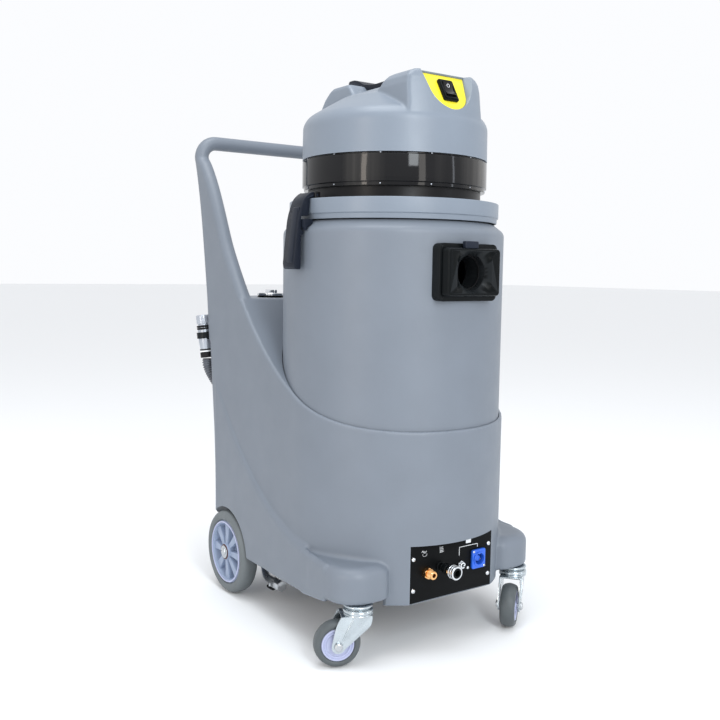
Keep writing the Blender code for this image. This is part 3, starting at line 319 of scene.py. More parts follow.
def rod(name, radius, low, high, axis="Z", centre=(0.0, 0.0), sides=48):
    """A round or many-sided bar along one axis, with its centre line at centre."""
    shape = bmesh.new()
    bmesh.ops.create_cone(shape, cap_ends=True, segments=sides, radius1=radius, radius2=radius, depth=high - low)
    bmesh.ops.translate(shape, vec=(0, 0, (high + low) / 2), verts=shape.verts)
    bmesh.ops.transform(shape, matrix=TURN[axis], verts=shape.verts)
    a, b = centre
    bmesh.ops.translate(shape, vec={"Z": (a, b, 0.0), "X": (0.0, a, b), "Y": (a, 0.0, b)}[axis], verts=shape.verts)
    return new_object(name, shape)


def lathe(name, profile, steps=96, closed=False):
    """Turns (radius, height) points about Z. Points at radius 0 become the poles."""
    shape = bmesh.new()
    rows = []
    for radius, height in profile:
        if radius < 1e-6:
            rows.append([shape.verts.new((0, 0, height))])
        else:
            rows.append([shape.verts.new((radius * math.cos(2 * math.pi * i / steps),
                                          radius * math.sin(2 * math.pi * i / steps), height)) for i in range(steps)])
    for one, two in zip(rows, rows[1:] + ([rows[0]] if closed else [])):
        for i in range(steps):
            j = (i + 1) % steps
            if len(one) == 1 and len(two) == 1:
                continue
            if len(one) == 1:
                shape.faces.new((one[0], two[i], two[j]))
            elif len(two) == 1:
                shape.faces.new((one[i], two[0], one[j]))
            else:
                shape.faces.new((one[i], two[i], two[j], one[j]))
    return new_object(name, shape)


def skinned(name, shape, rows):
    """Joins rows of vertices, each to the next, and closes both ends."""
    for one, two in zip(rows, rows[1:]):
        for i in range(len(one)):
            j = (i + 1) % len(one)
            shape.faces.new((one[i], one[j], two[j], two[i]))
    shape.faces.new(rows[0])
    shape.faces.new(rows[-1])
    return new_object(name, shape)


def loft(name, rings):
    """A closed skin through rings of points."""
    shape = bmesh.new()
    return skinned(name, shape, [[shape.verts.new(point) for point in ring] for ring in rings])


def prism(name, outline, low, high, facing="Z"):
    """An outline swept from low to high along Z, X (side on, points are y, z) or -Y (front on, points are x, z)."""
    put = {"Z": lambda u, v, w: (u, v, w), "X": lambda u, v, w: (w, u, v), "-Y": lambda u, v, w: (u, -w, v)}[facing]
    return loft(name, [[put(u, v, w) for u, v in outline] for w in (low, high)])


def sweep(name, points, radius, sides=20):
    """A round tube through points, whose radius may be a list."""
    points = [Vector(p) for p in points]
    count = len(points)
    radii = radius if isinstance(radius, list) else [radius] * count
    shape = bmesh.new()
    rows, up = [], None
    for i, point in enumerate(points):
        ahead = (points[min(i + 1, count - 1)] - points[max(i - 1, 0)]).normalized()
        if up is None:
            up = ahead.orthogonal().normalized()
        up = (up - ahead * up.dot(ahead)).normalized()
        across = ahead.cross(up)
        rows.append([shape.verts.new(point + (up * math.cos(a) + across * math.sin(a)) * radii[i])
                     for a in (2 * math.pi * k / sides for k in range(sides))])
    return skinned(name, shape, rows)


def bezier(points, steps):
    """Points along a cubic curve with four control points."""
    line = []
    for i in range(steps + 1):
        t = i / steps
        weights = ((1 - t) ** 3, 3 * t * (1 - t) ** 2, 3 * t * t * (1 - t), t ** 3)
        line.append(tuple(sum(w * p[k] for w, p in zip(weights, points)) for k in range(len(points[0]))))
    return line


def arc(centre, radius, start, end, steps):
    """Points along an arc, with angles in degrees."""
    turn = [math.radians(start + (end - start) * i / steps) for i in range(steps + 1)]
    return [(centre[0] + radius * math.cos(a), centre[1] + radius * math.sin(a)) for a in turn]


def around(count):
    """The angles of so many even steps round a circle."""
    return [2 * math.pi * i / count for i in range(count)]


def rounded(points, radius, steps=5, closed=True):
    """A polyline with its corners rounded."""
    line = []
    count = len(points)
    for i, point in enumerate(points):
        size = radius[i] if isinstance(radius, (list, tuple)) else radius
        if size <= 0 or (not closed and i in (0, count - 1)):
            line.append(tuple(point))
            continue
        here = Vector(point)
        one, two = Vector(points[i - 1]) - here, Vector(points[(i + 1) % count]) - here
        reach = min(size, one.length * 0.48, two.length * 0.48)
        start, end = here + one.normalized() * reach, here + two.normalized() * reach
        for k in range(steps + 1):
            t = k / steps
            line.append(tuple(start * (1 - t) ** 2 + here * 2 * t * (1 - t) + end * t * t))
    return line


def turned(name, points, radius, arc_steps, steps, closed=True):
    """An outline of (radius, height) points with its corners rounded, turned about Z."""
    return lathe(name, rounded(points, radius, arc_steps, closed), steps, closed)


def both_sides(half):
    """A profile of (radius, height) points and its mirror image below."""
    return half + [(r, -h) for r, h in reversed(half)]


def rounded_rectangle(low, high, radius, steps=6):
    """A rectangle's outline with round corners."""
    (x0, y0), (x1, y1) = low, high
    corners = [((x1 - radius, y0 + radius), -90), ((x1 - radius, y1 - radius), 0), ((x0 + radius, y1 - radius), 90),
               ((x0 + radius, y0 + radius), 180)]
    return [p for centre, start in corners for p in arc(centre, radius, start, start + 90, steps)]


def y_at(line, height):
    """Where a side-view line of (y, z) points stands at a height."""
    for (y0, z0), (y1, z1) in zip(line, line[1:]):
        if z0 <= height <= z1:
            return y0 + (y1 - y0) * (height - z0) / (z1 - z0)
    return line[-1][0] if height > line[-1][1] else line[0][0]


# ---------------------------------------------------------------- moulded body
def plan(rear, inset=0.0, steps=72):
    """The chassis outline seen from above."""
    radius = BODY_RADIUS - inset
    corner = 0.02 - inset * 0.5
    back = rear - inset
    return (arc((0, 0), radius, 180, 360, steps) + arc((radius - corner, back - corner), corner, 0, 90, 6)
            + arc((-radius + corner, back - corner), corner, 90, 180, 6))


def chassis_block(name, low, high, inset):
    """The chassis outline between two heights."""
    heights = [low] + [z for _, z in REAR_EDGE if low < z < high] + [high]
    return loft(name, [[(x, y, z) for x, y in plan(y_at(REAR_EDGE, z), inset)] for z in heights])


def above_seam(name, drop):
    """Everything above the seam line between chassis and barrel."""
    line = [(y, z - drop) for y, z in bezier(SEAM, 60) if z < DECK_Z + 0.03]
    outline = [(-0.3, line[0][1])] + line + [(line[-1][0], 0.8), (-0.3, 0.8)]
    return prism(name, outline, -0.25, 0.25, "X")


def well(name, radius, inner, sign):
    """The round room for a rear wheel."""
    low, high = sorted((sign * inner, sign * 0.235))
    return rod(name, radius, low, high, "X", (ARCH_Y, ARCH_Z), 96)


def foot(name, sign):
    """The rounded lobe over a caster."""
    rings = []
    top, bottom = 0.017, 0.005
    levels = [(LOBE_BOTTOM + bottom * (1 - math.cos(a)), bottom * (1 - math.sin(a)))
              for a in (math.pi / 2 * i / 6 for i in range(7))]
    levels += [(LOBE_TOP - top * (1 - math.sin(a)), top * (1 - math.cos(a)))
               for a in (math.pi / 2 * i / 8 for i in range(9))]
    for z, inset in levels:
        outer, front, inner, rear = 0.207, -0.169, 0.116, -0.06
        corner = 0.047 - inset * 0.6
        o, f, n = outer - inset, front + inset, inner + inset
        ring = arc((o - corner, f + corner), corner, -90, 0, 10) + [(o, rear), (n, rear)]
        ring += arc((n + 0.018, f + 0.018), 0.018, 180, 270, 6)
        rings.append([(sign * x, y, z) for x, y in ring])
    return loft(name, rings)


def flare(name, sign):
    """The skirt below the diagonal crease, proud of the wall at its front."""
    crease = bezier([(0.3, 0.405), (0.19, 0.27), (0.08, 0.165), (-0.11, 0.158)], 40)
    outline = [(0.3, BODY_BOTTOM + 0.001)] + crease + [(-0.11, BODY_BOTTOM + 0.004)]
    low, high = sorted((-sign * 0.006, sign * 0.0015))
    item = prism(name, outline, low, high, "X")
    for vertex in item.data.vertices:                  # the crease is a sloping bevel, lower at its outer edge
        if abs(vertex.co.x) < 0.002 and vertex.co.z > BODY_BOTTOM + 0.01:
            vertex.co.z -= 0.006
    lean = Matrix.Translation((sign * BODY_RADIUS, 0.3, 0)) @ Matrix.Rotation(sign * math.radians(1.35), 4, "Z")
    item.data.transform(lean @ Matrix.Translation((0, -0.3, 0)))
    return item


def handle_loft():
    """Both arms of the push handle and the bar between them, as one closed skin."""
    front = bezier(SEAM, 60) + bezier(ARM_FRONT, 40)[1:]
    rear = bezier(ARM_REAR, 40)
    reach, sides = BODY_RADIUS - HANDLE_RADIUS, 40

    def ring(x, low, high, z, flip):
        made = []
        for i in range(sides):
            a = 2 * math.pi * (i + 0.5) / sides
            end = high - HANDLE_RADIUS if math.sin(a) > 0 else low + HANDLE_RADIUS
            made.append((x + flip * HANDLE_RADIUS * math.cos(a), end + HANDLE_RADIUS * math.sin(a), z))
        return made

    def bend(cx, cz, angle):
        made = []
        for i in range(sides):
            a = 2 * math.pi * (i + 0.5) / sides
            out = HANDLE_RADIUS * math.cos(a)
            made.append((cx + out * math.cos(angle), HANDLE_Y + HANDLE_RADIUS * math.sin(a),
                         cz - out * math.sin(angle)))
        return made

    def back(z):
        return y_at(rear, z) if z > DECK_Z else y_at(REAR_EDGE, z)

    top, corner = HANDLE_Z - HANDLE_BEND, reach - HANDLE_BEND
    heights = [0.48 + i * (0.822 - 0.48) / 22 for i in range(23)]
    rings = [ring(-reach, y_at(front, z), back(z), z, 1) for z in heights]
    for start, cx in ((0, -corner), (90, corner)):
        for i in range(9):
            a = math.radians(start + 90 * i / 8)
            rings.append(bend(cx - HANDLE_BEND * math.cos(a), top + HANDLE_BEND * math.sin(a), a))
    rings += [ring(reach, y_at(front, z), back(z), z, -1) for z in reversed(heights)]
    return loft("handle", rings)


def make_body():
    """The moulded chassis with the push handle."""
    prismatic = carve(chassis_block("moulded_body", BODY_BOTTOM, DECK_Z, 0.0), above_seam("seam_cut", 0.0))
    solids = [prismatic, handle_loft()]
    for _, sign in SIDES:
        infill = prism("infill", [(-0.09, 0.11), (0.01, 0.11), (0.01, 0.1585), (-0.09, 0.158)],
                       *sorted((sign * 0.15, sign * 0.1998)), "X")
        solids += [foot("foot", sign), flare("flare", sign), infill]
    body = remesh(merge(solids), BODY_VOXEL, 3)
    inside = BODY_RADIUS - 0.006
    bay = chassis_block("bay", 0.05, 0.293, 0.006)
    carve(bay, box("panel_wall", (-0.1, -0.25, 0.04), (0.1, -0.166, 0.195)))
    for _, sign in SIDES:
        carve(bay, well("well_wall", ARCH_RADIUS + 0.005, 0.155, sign))
        carve(body, well("arch", ARCH_RADIUS, 0.16, sign),
              prism("hem", HEM, *sorted((sign * 0.1195, sign * 0.23)), "X"))
    wrap = TANK_RADIUS + 0.007
    start = math.degrees(math.acos(inside / wrap))
    rear = y_at(REAR_EDGE, 0.3) - 0.006
    room = prism("room", arc((0, 0), wrap, start, 180 - start, 32) + [(-inside, rear), (inside, rear)], 0.3,
                 DECK_Z - 0.006)
    carve(room, above_seam("under_seam", 0.012))
    recess = box("panel_recess", (-PANEL_HALF - GAP, -0.25, 0.07),
                 (PANEL_HALF + GAP, PANEL_Y + 0.0028, PANEL_HIGH + GAP))
    carve(body, rod("barrel_room", TANK_RADIUS + 0.0012, 0.3, 0.9, sides=192), bay, room, recess,
          box("window", (-0.074, -0.19, 0.1), (0.074, -0.15, 0.172)),
          rod("axle_hole", 0.0085, -0.17, 0.17, "X", (WHEEL_Y, WHEEL_RADIUS), 24),
          rod("filler_hole", 0.0265, 0.54, 0.6, "Z", FILLER, 48),
          rod("drain_bore", 0.014, 0.06, 0.38, "Y", DRAIN, 32), rod("valve_hole", 0.0095, 0.28, 0.31, "Z", VALVE, 24))
    return done(body, "chassis", GREY, ["chassis_shell", "push_handle"], 50)


# ---------------------------------------------------------------- barrel
def make_barrel():
    """The recovery tank."""
    inner = TANK_RADIUS - 0.004
    outside = rounded([(TANK_RADIUS - 0.0065, 0.3036), (TANK_RADIUS, 0.3095), (TANK_RADIUS, SHOULDER_Z),
                       (NECK_RADIUS + 0.001, TANK_TOP - 0.001), (NECK_RADIUS - 0.001, TANK_TOP),
                       (NECK_RADIUS - 0.0045, TANK_TOP)], [0, 0.002, 0.007, 0.003, 0.001, 0], 6, False)
    steps = 60
    wall = []
    for radius, height in outside:
        wall.append((radius, height))
        if len(wall) > 1 and wall[-2][1] < 0.5 < height:
            low = wall[-2][1]
            wall[-1:] = [(TANK_RADIUS, low + (height - low) * k / steps) for k in range(1, steps + 1)]
    profile = [(0, 0.3036)] + wall + [(NECK_RADIUS - 0.0045, TANK_TOP - 0.004), (inner, SHOULDER_Z - 0.003),
                                      (inner, 0.313), (inner - 0.006, 0.3075), (0, 0.3075)]
    barrel = lathe("barrel", profile, 160)
    carve(barrel, rod("inlet_hole", INLET_HOLE, -0.23, -0.15, "Y", (0.0, INLET_Z), 48),
          rod("drain_hole", 0.0125, 0.06, 0.38, "Y", DRAIN, 32))
    return done(barrel, "chassis", GREY, ["recovery_tank"], 40)


# ---------------------------------------------------------------- motor head
def on_slope(item):
    """Moves a piece drawn flat onto the sloping front of the head."""
    item.data.transform(Matrix.Translation((0, SWITCH_Y, SWITCH_Z)) @ Matrix.Rotation(math.pi / 2 - SLOPE, 4, "X"))
    return item


def switch_outline(inset, steps=32):
    """The outline of the yellow switch panel."""
    half = 0.045 - inset
    return arc((0, 0.006), 0.0385 - inset, 195, 345, steps) + [(half, 0.0345 - inset), (-half, 0.0345 - inset)]


def nose_ring(z, radius, half, back):
    """One level of the front hump of the head."""
    edge = math.degrees(math.asin((half - NOSE_CORNER) / radius))
    front = arc((0, 0), radius, 270 - edge, 270 + edge, 36)
    y = front[-1][1]
    return [(a, b, z)
            for a, b in front + [(half, y + NOSE_CORNER), (half, back), (-half, back), (-half, y + NOSE_CORNER)]]


def rear_ring(z, half, front, back):
    """One level of the rear hump of the head."""
    return [(x, y, z) for x, y in rounded_rectangle((-half, front), (half, back), REAR_CORNER, 6)]


def make_cover():
    """The motor cover with its two humps."""
    wall = BAND_RADIUS
    outside = rounded([(wall, 0.79), (wall - 0.0008, 0.861), (0.15, 0.8735), (0.13, 0.8855), (0.094, 0.9065),
                       (0.08, 0.911), (0.0, 0.9125)], [0, 0.01, 0.01, 0.01, 0.01, 0.01, 0], 5, False)
    dome = lathe("motor_cover_skin", [(0, 0.79)] + outside, 160)
    nose = loft("nose", [nose_ring(*row)
                         for row in ((0.85, 0.156, 0.08, -0.027), (0.866, 0.1555, 0.078, -0.034),
                                     (0.88, 0.1545, 0.0765, -0.04), (0.911, 0.151, 0.076, -0.054),
                                     (0.922, 0.149, 0.0735, -0.065), (0.929, 0.146, 0.068, -0.071),
                                     (0.9335, 0.143, 0.059, -0.077))])
    rear = loft("rear", [rear_ring(*row)
                         for row in ((0.86, 0.08, 0.0, 0.138), (0.88, 0.0785, 0.004, 0.131),
                                     (0.899, 0.077, 0.01, 0.1215), (0.916, 0.0765, 0.02, 0.108),
                                     (0.9275, 0.0755, 0.03, 0.094), (0.933, 0.073, 0.036, 0.085))])
    lips = [loft("lip", [[(sign * x, y, z) for x, y in rounded_rectangle((0.045, -0.07), (reach, 0.05), 0.004, 3)]
                         for z, reach in ((0.88, 0.076), (0.912, 0.07), (0.92, 0.056))]) for _, sign in SIDES]
    cover = remesh(merge([dome, nose, rear, *lips]), COVER_VOXEL, 2)
    hollow = lathe("hollow", [(0, 0.78), (0.1535, 0.78), (0.1535, 0.854), (0.145, 0.86), (0.08, 0.869), (0, 0.869)],
                   96)
    carve(cover, box("below", (-0.2, -0.2, 0.7), (0.2, 0.2, BAND_HIGH + GAP)), hollow,
          box("fingers", (-0.045, -0.05, 0.877), (0.045, 0.028, 0.97)),
          on_slope(loft("switch_recess", [[(x, y, z) for x, y in switch_outline(inset)]
                    for z, inset in ((-0.003, 0.0), (0.0008, 0.0), (0.04, -0.035))])))
    return done(cover, "head", GREY_HEAD, ["motor_cover"], 42)


def make_switch():
    """The yellow panel, the switch frame and the rocker."""
    plate = on_slope(prism("switch_plate", switch_outline(0.0006), -0.0027, -0.0007))
    carve(plate, on_slope(box("hole", (-0.0112, -0.012, -0.01), (0.0112, 0.018, 0.01))))
    soften(plate, 0.0004)
    done(plate, "head", YELLOW, ["switch_panel"])
    bezel = prism("switch_bezel", rounded_rectangle((-0.015, -0.017), (0.015, 0.023), 0.003), -0.0004, 0.0034)
    rim = prism("bezel_rim", rounded_rectangle((-0.0128, -0.0148), (0.0128, 0.0208), 0.002), 0.002, 0.005)
    join(bezel, rim)
    carve(bezel, box("mouth", (-0.01, -0.011, -0.01), (0.01, 0.017, 0.02)))
    soften(bezel, 0.0005)
    done(on_slope(bezel), "head", INLET, ["switch_frame"])
    side = arc((0.003, 0.028), 0.0235, 239.8, 300.2, 24) + [(0.0135, -0.0005), (-0.0075, -0.0005)]
    rocker = soften(prism("rocker", side, -0.009, 0.009, "X"), 0.0006)
    done(on_slope(rocker), "rocker", GLOSS, ["rocker_switch"])
    mark = lathe("rocker_mark", [(0.0024, 0.0), (0.003, 0.0), (0.003, 0.0003), (0.0024, 0.0003)], 24, True)
    mark.data.transform(Matrix.Translation((0, 0.0095, 0.00545)) @ tilt(16, "X"))
    done(on_slope(mark), "rocker", WHITE)
    bar = box("rocker_bar", (-0.0003, -0.0066, 0.005), (0.0003, -0.0016, 0.0054))
    bar.data.transform(Matrix.Translation((0, -0.0035, 0.0052)) @ tilt(-16, "X")
                       @ Matrix.Translation((0, 0.0041, -0.0052)))
    done(on_slope(bar), "rocker", WHITE)


def make_band():
    """The gloss band, the black neck above and below it, and the lid ring."""
    band = turned("gloss_band", [(0.1545, BAND_HIGH - GAP), (0.1562, BAND_HIGH - GAP), (0.1562, BAND_HIGH - 0.0022),
                                 (BAND_RADIUS, BAND_HIGH - 0.003), (BAND_RADIUS, BAND_LOW + 0.0062),
                                 (0.1562, BAND_LOW + 0.0054), (0.1562, BAND_LOW), (0.14, BAND_LOW),
                                 (0.14, BAND_LOW + 0.003), (0.1545, BAND_LOW + 0.006)], 0.0006, 3, 160)
    done(band, "head", GLOSS, ["cooling_ring"])
    for level in (BAND_LOW + 0.0028, BAND_HIGH - 0.0011):
        for i in range(BAND_CLIPS):
            a = math.radians(15 + 30 * i)
            clip = soften(box("clip", (-0.0011, -0.0007, -0.001), (0.0011, 0.0007, 0.001)), 0.0003)
            place = Matrix.Translation((0.1563 * math.cos(a), 0.1563 * math.sin(a), level))
            done(clip, "head", SILVER, turn=place @ Matrix.Rotation(a + math.pi / 2, 4, "Z"))
    ring = turned("lid_ring", [(0.02, 0.708), (0.144, 0.708), (0.144, BAND_LOW - GAP), (0.149, BAND_LOW - GAP),
                               (0.149, RIM_HIGH), (RIM_RADIUS - 0.001, RIM_HIGH), (RIM_RADIUS, RIM_HIGH - 0.001),
                               (RIM_RADIUS, RIM_LOW + 0.0065), (RIM_RADIUS - 0.0022, RIM_LOW + 0.0055),
                               (RIM_RADIUS - 0.0028, RIM_LOW - 0.0026), (0.1745, RIM_LOW - 0.0026), (0.1745, RIM_LOW),
                               (0.02, RIM_LOW)],
                  [0, 0, 0, 0, 0.002, 0.0025, 0.0015, 0.001, 0.001, 0.001, 0.0005, 0, 0], 4, 160)
    for _, sign in SIDES:
        for y in (-0.0222, 0.0222):
            low, high = sorted((sign * 0.166, sign * 0.176))
            lug = soften(box("lug", (low, y - 0.0022, RIM_HIGH - 0.004), (high, y + 0.0022, 0.743)), 0.001)
            join(ring, lug)
        carve(ring, rod("pin_bore", 0.0027, -0.03, 0.03, "Y", (sign * PIVOT_X, PIVOT_Z), 24))
    dark = []
    for face in ring.data.polygons:
        neck = face.center.xy.length < NECK_EDGE and face.center.z > RIM_HIGH - 0.001
        dark.append(neck or face.center.z > RIM_HIGH + 0.0005)
    done(ring, "head", [GREY_HEAD, DARK], ["head_base"])
    for face, is_dark in zip(ring.data.polygons, dark):
        face.material_index = int(is_dark)


def make_carry_handle():
    """The grip between the two humps."""
    side = [(-0.0598, 0.918), (-0.0726, 0.9308), (-0.068, 0.935), (-0.0165, 0.933), (0.015, 0.9325), (0.042, 0.9385),
            (0.053, 0.945), (0.066, 0.949), (0.083, 0.949), (0.086, 0.9345), (0.036, 0.934), (0.0268, 0.918)]
    grip = prism("grip", rounded(side,
                                 [0.002, 0.002, 0.004, 0.02, 0.015, 0.01, 0.008, 0.006, 0.004, 0.001, 0.004, 0.003],
                                 5), -0.041, 0.041, "X")
    soften(grip, 0.0025, 3, 50)
    done(grip, "head", NAVY, ["carry_handle"])


# ---------------------------------------------------------------- hose inlet
def make_inlet():
    """The suction hose inlet on the barrel."""
    outline = rounded_rectangle((-0.06, 0.572), (0.06, 0.662), 0.009, 8)
    backing = soften(prism("inlet_backing", outline, 0.15, INLET_FACE, "-Y"), 0.0012, 2, 50)
    wall = rod("wall", TANK_RADIUS + GAP, 0.5, 0.72, sides=192)
    hole = rod("plate_hole", INLET_HOLE, -0.23, -0.14, "Y", (0.0, INLET_Z), 64)
    carve(backing, wall, hole)
    for x in (-0.0545, 0.0545):
        for z in (0.5775, 0.6565):
            screw = lathe("inlet_screw", [(0, 0.0008), (0.0014, 0.0008), (0.0022, 0.0003), (0.0022, 0), (0, 0)], 20)
            screw.data.transform(Matrix.Translation((x, -INLET_FACE, z)) @ FORWARD)
            done(screw, "chassis", INLET)
    done(backing, "chassis", INLET, ["hose_inlet_plate"])

    outline = rounded_rectangle((-0.056, 0.5787), (0.056, 0.6557), 0.006, 6)
    block = prism("inlet_block", outline, INLET_FACE + GAP, 0.2135, "-Y")
    for vertex in block.data.vertices:
        if vertex.co.y < -0.205:
            vertex.co.x *= 0.955
            vertex.co.z = INLET_Z + (vertex.co.z - INLET_Z) * 0.945
    soften(block, 0.0022, 3, 50)
    join(block, rod("socket_pipe", 0.0312, -0.205, -0.16, "Y", (0.0, INLET_Z), 64))
    funnel = []
    for depth, radius, square in ((0.203, 0.0268, 0.0), (0.206, 0.0286, 0.15), (0.21, 0.0326, 0.7),
                                  (0.214, 0.0365, 1.0)):
        ring = []
        for a in around(64):
            wide = 1.0 / max(abs(math.cos(a)), abs(math.sin(a)) * 1.1)
            reach = radius * (1 - square) + radius * min(wide, 1.34) * square
            ring.append((reach * math.cos(a), -depth, INLET_Z + min(max(reach * math.sin(a), -0.034), 0.033)))
        funnel.append(ring)
    carve(block, loft("funnel", funnel), rod("socket_bore", INLET_BORE, -0.23, -0.15, "Y", (0.0, INLET_Z), 64),
          box("button_pocket", (-0.0185, -0.2112, 0.65), (0.0105, -0.201, 0.66)))
    soften(block, 0.0004, 2, 40)
    done(block, "chassis", INLET, ["hose_inlet_socket"], 35)
    lip = turned("inlet_lip", [(0.0268, 0.0), (0.0279, 0.0), (0.0279, 0.003), (0.0262, 0.003)], 0.0004, 2, 64)
    lip.data.transform(Matrix.Translation((0, -0.19, INLET_Z)) @ FORWARD)
    done(lip, "chassis", RUBBER)

    button = soften(box("release_button", (-0.0175, -0.2105, 0.654), (0.0095, -0.202, 0.6655)), 0.0016, 3)
    for i in range(3):
        groove = box("groove", (-0.015, -0.209 + 0.0022 * i, 0.665), (0.007, -0.2082 + 0.0022 * i, 0.6662))
        carve(button, groove)
    done(button, "release_button", NAVY, ["hose_release_button"])


# ---------------------------------------------------------------- latches
def make_latch(side, sign):
    """One latch lever and its catch."""
    outline = arc((-PIVOT_X, PIVOT_Z), 0.0043, -90, 90, 16)
    tail = [(-0.18, 0.7423), (-0.1925, 0.732), (-0.203, 0.703), (-0.2112, 0.627), (-0.2095, 0.619), (-0.1984, 0.6182),
            (-0.1984, 0.673), (-0.1936, 0.6742), (-0.1936, 0.6785), (-0.1984, 0.683), (-0.1978, 0.703),
            (-0.184, 0.7045), (-0.182, 0.7337)]
    tail = rounded([outline[-1]] + tail + [outline[0]],
                   [0, 0.004, 0.01, 0.014, 0.005, 0.004, 0.003, 0.0005, 0.001, 0.001, 0.001, 0.001, 0.002, 0.001, 0],
                   5, False)[1:-1]
    outline = [(sign * -u, v) for u, v in outline + tail]
    lever = prism(f"latch_lever_{side}", outline, -0.018, 0.018, "-Y")
    soften(lever, 0.0018, 3, 50)
    hub = rod("hub", 0.0043, -0.019, 0.019, "Y", (sign * PIVOT_X, PIVOT_Z), 40)
    pin = rod("pin", 0.0022, -0.0228, 0.0228, "Y", (sign * PIVOT_X, PIVOT_Z), 32)
    join(lever, hub, pin)
    rib = [(sign * u, v) for u, v in ((0.193, 0.718), (0.204, 0.629), (0.2124, 0.629), (0.2008, 0.718))]
    spine = soften(prism("spine", rib, -0.005, 0.013, "-Y"), 0.002, 3, 30)
    join(lever, spine)
    soften(lever, 0.0003, 1, 40)
    done(lever, f"latch_{side}", NAVY, [f"latch_{side}"], 32)
    catch = rounded([(-0.18, 0.6925), (-0.18, 0.6985), (-0.1972, 0.6985), (-0.1972, 0.685), (-0.1913, 0.68),
                     (-0.1913, 0.6838)], [0.0005, 0.001, 0.002, 0.001, 0.0005, 0.001], 4)
    plate = prism(f"latch_wing_{side}", [(sign * -u, v) for u, v in catch], -0.024, 0.024, "-Y")
    soften(plate, 0.0012, 3, 50)
    done(plate, "chassis", NAVY, [f"latch_catch_{side}"])


# ---------------------------------------------------------------- wheels
def spun(item, sign, middle):
    """Stands a wheel turned about Z on the rear axle, with its outer face away from the body."""
    item.data.transform(Matrix.Translation((sign * middle, WHEEL_Y, WHEEL_RADIUS))
                        @ Matrix.Rotation(sign * math.pi / 2, 4, "Y"))
    return item


def make_rear_wheel(side, sign):
    """One rear wheel with its axle cap."""
    half, middle, rim = (WHEEL_OUTER - WHEEL_INNER) / 2, (WHEEL_OUTER + WHEEL_INNER) / 2, 0.0595
    tread = [(rim + GAP, half - 0.0035), (0.0625, half - 0.0012), (0.065, half - 0.0002), (0.07, half - 0.0004),
             (0.0735, half - 0.0018), (0.0762, half - 0.0045), (0.078, half - 0.0085), (0.0787, half - 0.0125),
             (WHEEL_RADIUS, 0.0012)]
    tyre = lathe(f"wheel_tyre_{side}", both_sides(tread), 128, True)
    done(spun(tyre, sign, middle), f"rear_wheel_{side}", TYRE, [f"rear_tyre_{side}"], 60)

    hub = turned(f"wheel_hub_{side}", [(0.0072, half - 0.001), (0.015, half - 0.001), (0.0162, half - 0.0045),
                    (0.0172, half - 0.015), (0.05, half - 0.0165), (0.0535, half - 0.0045), (0.0565, half - 0.0018),
                    (rim, half - 0.004), (rim, -half + 0.004), (0.056, -half + 0.002), (0.053, -half + 0.0045),
                    (0.05, -0.003), (0.0172, -0.003), (0.015, -half + 0.001), (0.0072, -half + 0.001)], 0.0008, 3,
                 128)
    for a in around(SPOKES):
        near, far, wide, slim = 0.015, 0.053, 0.0046, 0.0092
        top, low = half - 0.0052, -0.002
        rings = []
        for r, w, h in ((near, wide, top + 0.001), ((near + far) / 2, (wide + slim) / 2, top - 0.0006),
                        (far, slim, top - 0.001)):
            rings.append([(r, -w, low), (r, w, low), (r, w * 0.92, h - 0.0012), (r, w * 0.8, h), (r, -w * 0.8, h),
                          (r, -w * 0.92, h - 0.0012)])
        spoke = loft("spoke", rings)
        spoke.data.transform(Matrix.Rotation(a, 4, "Z"))
        join(hub, spoke, solver="EXACT")
    done(spun(hub, sign, middle), f"rear_wheel_{side}", HUB, [f"rear_hub_{side}"], 30)
    ring = turned("hub_ring",
                  [(0.055, half - 0.0026), (0.0556, half - 0.001), (0.058, half - 0.0014), (0.0584, half - 0.003)],
                  0.0004, 2, 128)
    done(spun(ring, sign, middle), f"rear_wheel_{side}", LILAC)
    core = turned("hub_core", [(0.008, half - 0.0008), (0.0128, half - 0.0008), (0.014, half + 0.0),
                               (0.0148, half - 0.0014), (0.008, half - 0.0014)], 0.0003, 2, 64)
    done(spun(core, sign, middle), f"rear_wheel_{side}", HUB_RED)
    cap = lathe(f"axle_clip_{side}", rounded([(0, 0.0028), (0.0058, 0.0028), (0.0066, 0.0018), (0.0068, 0.0008),
                    (0.011, 0.0008), (0.0122, 0.0004), (0.0122, 0.0)], [0, 0.0008, 0.0004, 0.0002, 0.0003, 0.0002, 0],
                    3, False) + [(0, 0)], 64)
    slot = box("slot", (-0.0012, 0.007, -0.001), (0.0012, 0.013, 0.004))
    carve(cap, slot)
    done(spun(cap, sign, WHEEL_OUTER + GAP), "chassis", STEEL, [f"axle_cap_{side}"])


